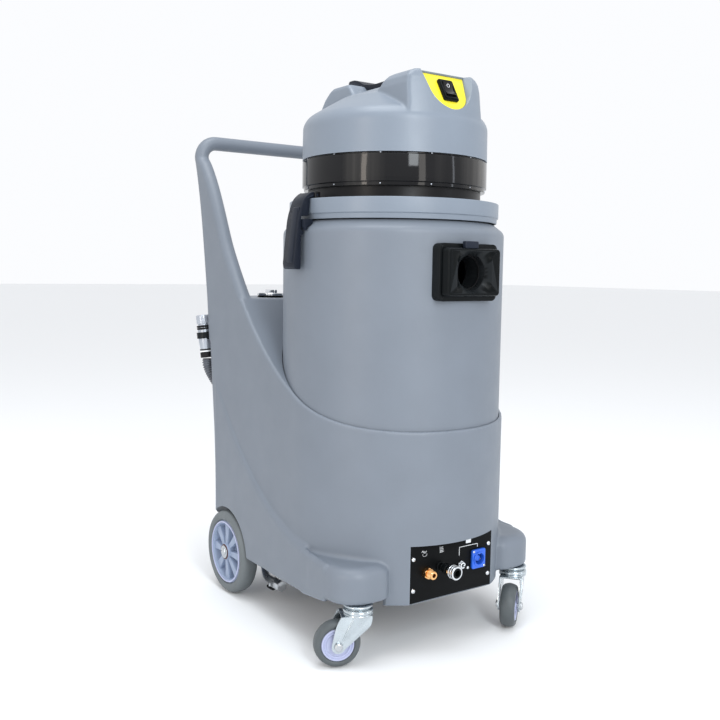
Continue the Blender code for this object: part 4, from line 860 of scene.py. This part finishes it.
def make_caster(side, sign):
    """One caster, with its race, fork, bolt and wheel."""
    place = Matrix.Translation((sign * CASTER_X, CASTER_Y, 0)) @ Matrix.Rotation(CASTER_TURN[side], 4, "Z")
    top = LOBE_BOTTOM - GAP
    mount = turned(f"caster_race_{side}", [(0, top), (0.0222, top), (0.0238, top - 0.0012), (0.0238, top - 0.003),
                    (0.0226, top - 0.0042), (0.0206, 0.095), (0.0206, 0.0938), (0.0062, 0.0938), (0.0062, 0.0815),
                    (0.01, 0.0815), (0.009, 0.0785), (0, 0.0785)],
                   [0, 0.001, 0.001, 0.001, 0.001, 0.0005, 0.0004, 0, 0, 0.0004, 0.0004, 0], 3, 72, False)
    done(mount, "chassis", ZINC, [f"caster_mount_{side}"], turn=place)
    body = f"swivel_{side}"
    crown = turned("crown", [(0.007, 0.0934), (0.0212, 0.0934), (0.0232, 0.0926), (0.0243, 0.0902), (0.024, 0.0876),
                             (0.0228, 0.0862), (0.0238, 0.085), (0.0236, 0.0828), (0.007, 0.0828)], 0.0007, 3, 72)
    groove = turned("race_gap", [(0.018, 0.0936), (0.0202, 0.0936), (0.0202, 0.0944), (0.018, 0.0944)], 0.0002, 2, 64)
    done(groove, body, RUBBER, turn=place)
    wheel_x, wheel_z = CASTER_TRAIL, CASTER_RADIUS
    leg = [(-0.02, 0.0848), (-0.0188, 0.07)] + arc((wheel_x, wheel_z), 0.0108, 205, 375, 20)
    leg += [(0.0372, 0.07), (0.029, 0.0848)]
    leg = rounded(leg, [0.002, 0.012] + [0] * 21 + [0.012, 0.002], 6)
    parts = [prism("leg", leg, low, low + 0.0026, "-Y") for low in (0.0166, -0.0192)]
    roof = soften(box("roof", (-0.02, -0.0192, 0.0822), (0.029, 0.0192, 0.085)), 0.0012, 3)
    join(crown, roof, *parts)
    for y in (-1, 1):        # pressed crease down each leg
        crease = sweep("crease",
                       [(0.0105, y * 0.0193, 0.08), (0.019, y * 0.0196, 0.064), (0.0262, y * 0.0193, 0.048)], 0.0013,
                       12)
        join(crown, crease)
    carve(crown, rod("pin_hole", 0.007, 0.07, 0.099, sides=48),
          rod("fork_bore", 0.0043, -0.03, 0.03, "Y", (wheel_x, wheel_z), 32))
    soften(crown, 0.0005, 2, 50)
    done(crown, body, ZINC, [f"caster_fork_{side}"], 35, place)

    wheel_place = place @ Matrix.Translation((wheel_x, 0, wheel_z)) @ TURN["Y"]
    bolt = turned("caster_bolt", [(0, 0.0236), (0.0045, 0.0234), (0.0066, 0.0222), (0.0068, 0.0193), (0.0038, 0.0193),
                                  (0.0038, -0.0193), (0.003, -0.0193), (0.003, -0.024), (0, -0.024)],
                  [0, 0.0004, 0.0006, 0.0003, 0, 0, 0, 0.0004, 0], 3, 40, False)
    nut = rod("nut", 0.0066, -0.0228, -0.0194, sides=6)
    soften(nut, 0.0004, 2)
    join(bolt, nut)
    done(bolt, body, STEEL, [f"caster_axle_{side}"], turn=wheel_place)
    body = f"caster_wheel_{side}"
    half = [(0.0044, 0.0135), (0.0078, 0.0135), (0.0086, 0.0108), (0.01, 0.0096), (0.018, 0.0096), (0.0192, 0.0118),
            (0.0204, 0.012), (0.0212, 0.0104), (0.0224, 0.0104), (0.0232, 0.0122), (0.0248, 0.0124), (0.026, 0.0112)]
    hub = turned("caster_hub_skin", both_sides(half), 0.0004, 2, 96)
    done(hub, body, LILAC, [f"caster_hub_{side}"], 40, wheel_place)
    tread = [(0.0263, 0.0114), (0.028, 0.0126), (0.03, 0.013), (0.0322, 0.0126), (0.0342, 0.011), (0.0358, 0.0082),
             (0.0369, 0.0046), (CASTER_RADIUS, 0.001)]
    tyre = lathe("caster_tyre_skin", both_sides(tread), 96, True)
    done(tyre, body, CASTER_TYRE, [f"caster_tyre_{side}"], 60, wheel_place)


# ---------------------------------------------------------------- connector panel
BRASS_AT, COUPLER_AT, TOGGLE_AT, POWER_AT = (-0.055, 0.136), (-0.026, 0.141), (0.018, 0.1355), (0.0555, 0.14)
SCREW_X, SCREW_Z = 0.0805, (0.109, 0.161)


def forward(item, at, out=0.0):
    """Turns a piece drawn upward so that it stands out of the panel."""
    item.data.transform(Matrix.Translation((at[0], PANEL_Y - out, at[1])) @ FORWARD)
    return item


def hexagon(name, radius, low, high):
    """A six-sided nut with rounded corners."""
    nut = rod(name, radius, low, high, sides=6)
    crown = lathe("nut_round", [(0, low - 0.001), (radius * 1.02, low - 0.001), (radius * 1.02, high - radius * 0.16),
                                (radius * 0.88, high), (0, high + 0.00001)], 48)
    return soften(carve(nut, crown, operation="INTERSECT"), 0.0002, 1)


def printed(name, points, width=0.0007):
    """A printed line on the panel, as a thin raised ribbon. Points are x, z."""
    half = width / 2
    shape = bmesh.new()
    for (x0, z0), (x1, z1) in zip(points, points[1:]):
        long = Vector((x1 - x0, z1 - z0))
        side = Vector((-long.y, long.x)).normalized() * half
        long = long.normalized() * half * 0.8
        corners = [(x0 - long.x + side.x, z0 - long.y + side.y), (x0 - long.x - side.x, z0 - long.y - side.y),
                   (x1 + long.x - side.x, z1 + long.y - side.y), (x1 + long.x + side.x, z1 + long.y + side.y)]
        low = [shape.verts.new((x, PANEL_Y + 0.0002, z)) for x, z in corners]
        high = [shape.verts.new((x, PANEL_Y - 0.00018, z)) for x, z in corners]
        shape.faces.new(low)
        shape.faces.new(high)
        for i in range(4):
            shape.faces.new((low[i], low[(i + 1) % 4], high[(i + 1) % 4], high[i]))
    return done(new_object(name, shape), "chassis", WHITE)


def make_panel():
    """The connector panel and its screws."""
    panel = box("panel_plate", (-PANEL_HALF, PANEL_Y, PANEL_LOW), (PANEL_HALF, PANEL_Y + 0.0025, PANEL_HIGH))
    soften(panel, 0.0006, 2)
    for radius, at in ((0.0062, BRASS_AT), (0.0062, COUPLER_AT), (0.005, TOGGLE_AT), (0.0125, POWER_AT)):
        carve(panel, rod("hole", radius, PANEL_Y - 0.01, PANEL_Y + 0.01, "Y", at, 40))
    done(panel, "chassis", PANEL, ["connector_panel"])
    count = 0
    for x in (-SCREW_X, SCREW_X):
        for z in SCREW_Z:
            count += 1
            head = lathe(f"screw_{count}", [(0, 0.0024), (0.0014, 0.00235), (0.0026, 0.0019), (0.0034, 0.0011),
                                            (0.0038, GAP), (0, GAP)], 36)
            socket = rod("socket", 0.0013, 0.0012, 0.004, sides=6)
            carve(head, socket)
            done(forward(head, (x, z)), "chassis", CHROME, [f"panel_screw_{count}"])


def make_outlet():
    """The brass outlet."""
    outlet = [(0.0035, 0.021), (0.006, 0.021), (0.0068, 0.0203)]
    for i in range(7):
        low = 0.0196 - i * 0.0013
        outlet += [(0.007, low), (0.0064, low - 0.0006)]
    outlet += [(0.0062, 0.0096), (0.0056, 0.009), (0.0056, -0.012), (0.0035, -0.012)]
    brass = lathe("brass_spigot", outlet, 48, True)
    join(brass, hexagon("brass_hex", 0.0098, GAP, 0.0095), solver="EXACT")
    carve(brass, rod("bore", 0.0035, -0.02, 0.03, sides=48))
    done(forward(brass, BRASS_AT), "chassis", BRASS, ["brass_outlet"], 30)


def make_coupler():
    """The quick coupler and its collar."""
    stem = [(0.0052, 0.044), (0.008, 0.044), (0.008, 0.0225), (0.009, 0.0217), (0.009, 0.015), (0.0066, 0.014),
            (0.0066, 0.0112), (0.0074, 0.0108), (0.0074, 0.0094), (0.0066, 0.009), (0.0066, 0.004), (0.0085, 0.0035),
            (0.0085, GAP), (0.0056, GAP), (0.0056, -0.012), (0.003, -0.012), (0.003, 0.02), (0.0052, 0.021)]
    done(forward(turned("coupler_stem", stem, 0.0004, 2, 48), COUPLER_AT), "chassis", INLET, ["coupler_body"],
         35)
    collar = [(0.0084, 0.0435), (0.0103, 0.0435), (0.0112, 0.0428), (0.0112, 0.0408), (0.0104, 0.0402),
              (0.0104, 0.0384), (0.0111, 0.0378), (0.0111, 0.0362), (0.0104, 0.0356), (0.0104, 0.0338),
              (0.0112, 0.0332), (0.0112, 0.0292), (0.0106, 0.0285), (0.0084, 0.0285)]
    done(forward(turned("coupler_ring", collar, 0.0003, 2, 48), COUPLER_AT), "collar", CHROME, ["coupler_collar"],
         35)


def make_power_inlet():
    """The blue mains inlet."""
    x, z = POWER_AT
    flange = soften(prism("inlet_flange", rounded_rectangle((-0.0145, -0.0162), (0.0145, 0.0162), 0.003), GAP, 0.005),
                    0.0008, 2, 50)
    join(flange, rod("barrel", 0.0118, -0.02, 0.007, sides=56))
    carve(flange, rod("mouth", 0.0098, -0.014, 0.01, sides=56))
    key = box("key", (-0.0016, 0.008, -0.014), (0.0016, 0.0104, 0.0066))
    join(flange, key, solver="EXACT")
    soften(flange, 0.0003, 1, 50)
    done(forward(flange, POWER_AT), "chassis", BLUE, ["power_inlet"], 35)
    core = soften(rod("socket_core", 0.005, -0.0138, 0.002, sides=40), 0.0006, 2)
    done(forward(core, POWER_AT), "chassis", BLUE)
    for a in (90, 210, 330):
        blade = soften(box("blade", (-0.0014, -0.0003, -0.0138), (0.0014, 0.0003, 0.001)), 0.0001, 1)
        x_off, y_off = 0.0068 * math.cos(math.radians(a)), 0.0068 * math.sin(math.radians(a))
        turn = Matrix.Translation((x_off, y_off, 0)) @ tilt(a + 90, "Z")
        blade.data.transform(turn)
        done(forward(blade, POWER_AT), "chassis", BRASS)
    for u, v in ((-0.0115, 0.0132), (0.0115, -0.0132)):
        screw = lathe("flange_screw", [(0, 0.0012), (0.0012, 0.0011), (0.002, 0.0005), (0.002, 0), (0, 0)], 24)
        carve(screw, box("cross", (-0.0003, -0.0014, 0.0007), (0.0003, 0.0014, 0.002)))
        done(forward(screw, (x + u, z + v), 0.005), "chassis", CHROME)


def make_toggle():
    """The toggle switch."""
    bush = turned("toggle_sleeve", [(0.0028, 0.008), (0.005, 0.008), (0.0056, 0.0074), (0.0056, 0.0062),
                                    (0.0046, 0.0056), (0.0046, -0.008), (0.0028, -0.008)], 0.0003, 2, 40)
    join(bush, hexagon("toggle_hex", 0.0072, GAP, 0.0035), solver="EXACT")
    carve(bush, rod("bore", 0.0028, -0.02, 0.02, sides=40))
    done(forward(bush, TOGGLE_AT), "chassis", CHROME, ["toggle_bush"], 30)
    bat = lathe("toggle_bat", [(0, 0.0205), (0.001, 0.0204), (0.0019, 0.0199), (0.0025, 0.019), (0.0026, 0.0178),
                               (0.0023, 0.016), (0.0013, 0.009), (0.0013, 0.001), (0, 0.001)], 32)
    done(forward(bat, TOGGLE_AT), "toggle", CHROME, ["toggle_lever"], 60)


def make_marks():
    """Printed marks: a drop and arcs, a spray mark, a plain block, a bracket round the toggle and inlet."""
    printed("mark_water", [(-0.058 + 0.0042 * math.cos(math.radians(a)), 0.1655 + 0.003 * math.sin(math.radians(a)))
                           for a in range(160, 385, 15)])
    for dx in (-0.0022, 0.0, 0.0022):
        printed("mark_rays", [(-0.058 + dx * 0.7, 0.168), (-0.058 + dx * 1.5, 0.1712)])
    printed("mark_drop", [(-0.064, 0.17), (-0.0622, 0.1722)])
    for i in range(4):
        wide = 0.003 - 0.0004 * i
        printed("mark_spray", [(-0.022 - wide, 0.164 + 0.0026 * i), (-0.022 + wide, 0.164 + 0.0026 * i)], 0.0008)
    printed("mark_spray_side", [(-0.0258, 0.163), (-0.0262, 0.1728)], 0.0006)
    label = soften(prism("plain_label", [(u + 0.035, v + 0.1735)
                    for u, v in rounded_rectangle((-0.0055, -0.0042), (0.0055, 0.0042), 0.0012)], -PANEL_Y + 0.0,
                         -PANEL_Y + 0.0003, "-Y"), 0.0001, 1)
    done(label, "chassis", WHITE)
    printed("mark_bracket", [(0.0155, 0.1515), (0.0155, 0.165), (0.0555, 0.165), (0.0555, 0.1595)], 0.0008)


# ---------------------------------------------------------------- plumbing
def make_drain():
    """The drain hose with its cuff and plug."""
    x, z = DRAIN
    line = [(0.0, 0.0)] + bezier([(0.0, 0.006), (0.001, 0.03), (0.03, 0.052), (0.031, 0.078)], 60) + [(0.031, 0.084)]
    points, radii, run = [], [], 0.0
    place = [Vector((x - 0.0083 - out, 0.3485 + 0.04 * up, z + 0.0266 + up)) for out, up in line]
    fine = []
    for one, two in zip(place, place[1:]):
        count = max(1, int((two - one).length / 0.00045))
        fine += [one.lerp(two, k / count) for k in range(count)]
    fine.append(place[-1])
    for i, point in enumerate(fine):
        run += (point - fine[i - 1]).length if i else 0.0
        points.append(point)
        radii.append(0.00935 + 0.0011 * math.cos(2 * math.pi * run / 0.0042))
    hose = sweep("ribbed_hose", points, radii, 32)
    done(hose, "chassis", HOSE, ["drain_hose"], 60)
    lean = Matrix.Translation((x - 0.0398, 0.3522, z + 0.113)) @ tilt(-4, "Y")
    lean = lean @ tilt(-5.5, "X")
    cuff = turned("cuff_cone", [(0, 0.07), (0.0105, 0.07), (0.0105, 0.064), (0.0118, 0.063), (0.0118, 0.056),
                                (0.0124, 0.0545), (0.0124, 0.03), (0.0112, 0.018), (0.0104, 0.013), (0.0104, 0.011),
                                (0, 0.011)],
                  [0, 0.0005, 0.0005, 0.0008, 0.0005, 0.0008, 0.003, 0.002, 0.0005, 0.0004, 0], 4, 56, False)
    done(cuff, "chassis", SILVER, ["drain_cuff"], 35, lean)
    for low, high, out, look in ((0.0, 0.0105, 0.0122, RUBBER), (0.0112, 0.014, 0.0124, WHITE),
                                 (0.0145, 0.017, 0.0122, RUBBER), (0.0555, 0.059, 0.0134, RUBBER),
                                 (0.0596, 0.0632, 0.0134, RUBBER)):
        ring = turned("cuff_ring", [(0.0085, low), (out, low), (out, high), (0.0085, high)], 0.0008, 3, 56)
        done(ring, "chassis", look, turn=lean)
    plug = turned("plug_skin", [(0, 0.084), (0.0112, 0.084), (0.013, 0.0822), (0.013, 0.0662), (0.0108, 0.0662),
                                (0.0108, 0.0705), (0, 0.0705)], [0, 0.001, 0.001, 0.0006, 0.0004, 0, 0], 4, 72, False)
    for a in around(FLUTES):
        flute = rod("flute", 0.0009, 0.065, 0.0835, "Z", (0.0134 * math.cos(a), 0.0134 * math.sin(a)), 12)
        carve(plug, flute)
    done(plug, "plug", SILVER, ["drain_plug"], 35, lean)


def make_cap():
    """The filler cap."""
    x, y = FILLER
    top = DECK_Z + 0.0038
    cap = turned("filler_lid_skin", [(0, top + 0.0055), (0.0215, top + 0.0055), (0.0262, top + 0.0042), (0.0265, top),
                                     (0.02, top), (0.019, top - 0.01), (0, top - 0.01)],
                 [0, 0.003, 0.001, 0.0006, 0, 0.001, 0], 4, 72, False)
    cap.data.transform(Matrix.Translation((x, y, 0)))
    grip = soften(box("grip_bar", (x - 0.0035, y - 0.018, top + 0.003), (x + 0.0035, y + 0.018, top + 0.011)), 0.0018,
                  3)
    join(cap, grip)
    for a in around(NICKS):
        carve(cap, rod("nick", 0.001, top - 0.001, top + 0.006, "Z",
                       (x + 0.027 * math.cos(a), y + 0.027 * math.sin(a)), 10))
    done(cap, "filler_lid", CHROME, ["filler_cap"], 35)
    seat = turned("filler_seat", [(0.0238, DECK_Z - 0.002), (0.0262, DECK_Z - 0.002), (0.0262, DECK_Z + 0.003),
                                  (0.0238, DECK_Z + 0.0034)], 0.0005, 3, 72)
    seat.data.transform(Matrix.Translation((x, y, 0)))
    done(seat, "chassis", INLET)


def make_valve():
    """The drain valve's pipe and lever."""
    x, y = VALVE
    pipe = [(x, y, 0.299), (x, y, 0.064), (x - 0.001, y - 0.003, 0.054), (x - 0.003, y - 0.009, 0.046),
            (x - 0.006, y - 0.018, 0.042), (x - 0.008, y - 0.028, 0.0405), (x - 0.009, y - 0.066, 0.04)]
    body = sweep("valve_pipe", pipe, 0.0073, 28)
    nut = soften(rod("nut", 0.011, 0.118, 0.144, "Y", (x - 0.009, 0.04), 6), 0.0008, 2)
    boss = rod("boss", 0.0045, 0.029, 0.04, "Z", (x - 0.009, 0.159), 24)
    join(body, nut, boss)
    done(body, "chassis", STEEL, ["drain_valve_body"], 35)
    lever = soften(box("valve_handle", (x - 0.0125, 0.148, 0.023), (x - 0.0055, 0.17, 0.0287)), 0.0018, 3)
    done(lever, "valve_lever", INLET, ["drain_valve_lever"])


for step in (make_body, make_barrel, make_cover, make_switch, make_band, make_carry_handle, make_inlet, make_panel,
             make_outlet, make_coupler, make_power_inlet, make_toggle, make_marks, make_drain, make_cap, make_valve):
    step()
for side, sign in SIDES:
    make_latch(side, sign)
    make_rear_wheel(side, sign)
    make_caster(side, sign)

# the CAD nodes that stay as they are, by the start of their names
LOOKS = {"drain_elbow": RUBBER, "float_ball": NATURAL, "float_cage": INLET, "hose_clip": INLET, "motor_fan": STEEL,
         "rear_axle": STEEL, "solution_pump": INLET, "solution_tank": NATURAL, "tank_gasket": RUBBER,
         "vacuum_motor": STEEL}
for name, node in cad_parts.items():
    for start, look in LOOKS.items():
        if name.startswith(start):
            node.data.materials.clear()
            node.data.materials.append(look)


# ---------------------------------------------------------------- stage, camera and light
def make_stage():
    """Floor, world, lamps and the camera fitted to the picture."""
    shape = bmesh.new()
    bmesh.ops.create_grid(shape, x_segments=2, y_segments=2, size=30.0)
    floor = new_object("floor", shape)
    floor.location.z = -0.0006
    look = bpy.data.materials.new("pale_floor")
    look.use_nodes = True
    shader = look.node_tree.nodes["Principled BSDF"]
    shader.inputs["Base Color"].default_value = (0.86, 0.87, 0.88, 1.0)
    shader.inputs["Roughness"].default_value = 0.9
    floor.data.materials.append(look)
    world = bpy.data.worlds.new("studio")
    world.use_nodes = True
    sky = world.node_tree.nodes["Background"]
    sky.inputs["Color"].default_value = (0.97, 0.98, 1.0, 1.0)
    sky.inputs["Strength"].default_value = 1.0
    bpy.context.scene.world = world
    bpy.context.scene.view_settings.view_transform = "Standard"

    def lamp(name, place, aim, size, power, colour=(1, 1, 1)):
        light = bpy.data.lights.new(name, "AREA")
        light.shape = "RECTANGLE"
        light.size, light.size_y = size
        light.energy = power
        light.color = colour
        item = bpy.data.objects.new(name, light)
        item.location = place
        item.rotation_euler = (Vector(aim) - Vector(place)).to_track_quat("-Z", "Y").to_euler()
        bpy.context.scene.collection.objects.link(item)

    lamp("key", (-0.7, -2.8, 1.9), (0, 0, 0.5), (0.6, 1.6), 38, (0.9, 0.96, 1.0))
    lamp("top", (-0.3, -0.2, 2.8), (0, 0, 0.5), (1.4, 1.4), 28, (0.92, 0.96, 1.0))
    lamp("strip_left", (-2.6, -0.9, 1.0), (0, 0, 0.7), (0.3, 1.8), 13, (1.0, 0.9, 0.8))
    lamp("strip_front", (-0.2, -2.9, 1.0), (0, 0, 0.7), (0.4, 1.8), 9, (1.0, 0.96, 0.9))
    lamp("strip_right", (1.7, -2.3, 1.0), (0, 0, 0.7), (0.1, 1.8), 3, (0.85, 0.9, 1.0))

    ahead = Vector((math.sin(YAW) * math.cos(PITCH), math.cos(YAW) * math.cos(PITCH), -math.sin(PITCH)))
    right = Vector((math.cos(YAW), -math.sin(YAW), 0.0))
    up = right.cross(ahead)
    across = right * math.cos(ROLL) + up * math.sin(ROLL)
    over = up * math.cos(ROLL) - right * math.sin(ROLL)
    camera = bpy.data.objects.new("camera", bpy.data.cameras.new("camera"))
    camera.data.lens = CAMERA_LENS
    camera.data.sensor_width = 36.0
    frame_axes = Matrix((across, over, -ahead)).transposed().to_4x4()
    camera.matrix_world = Matrix.Translation(Vector(CAMERA_PLACE) + SHIFT) @ frame_axes
    bpy.context.scene.collection.objects.link(camera)
    bpy.context.scene.camera = camera


make_stage()
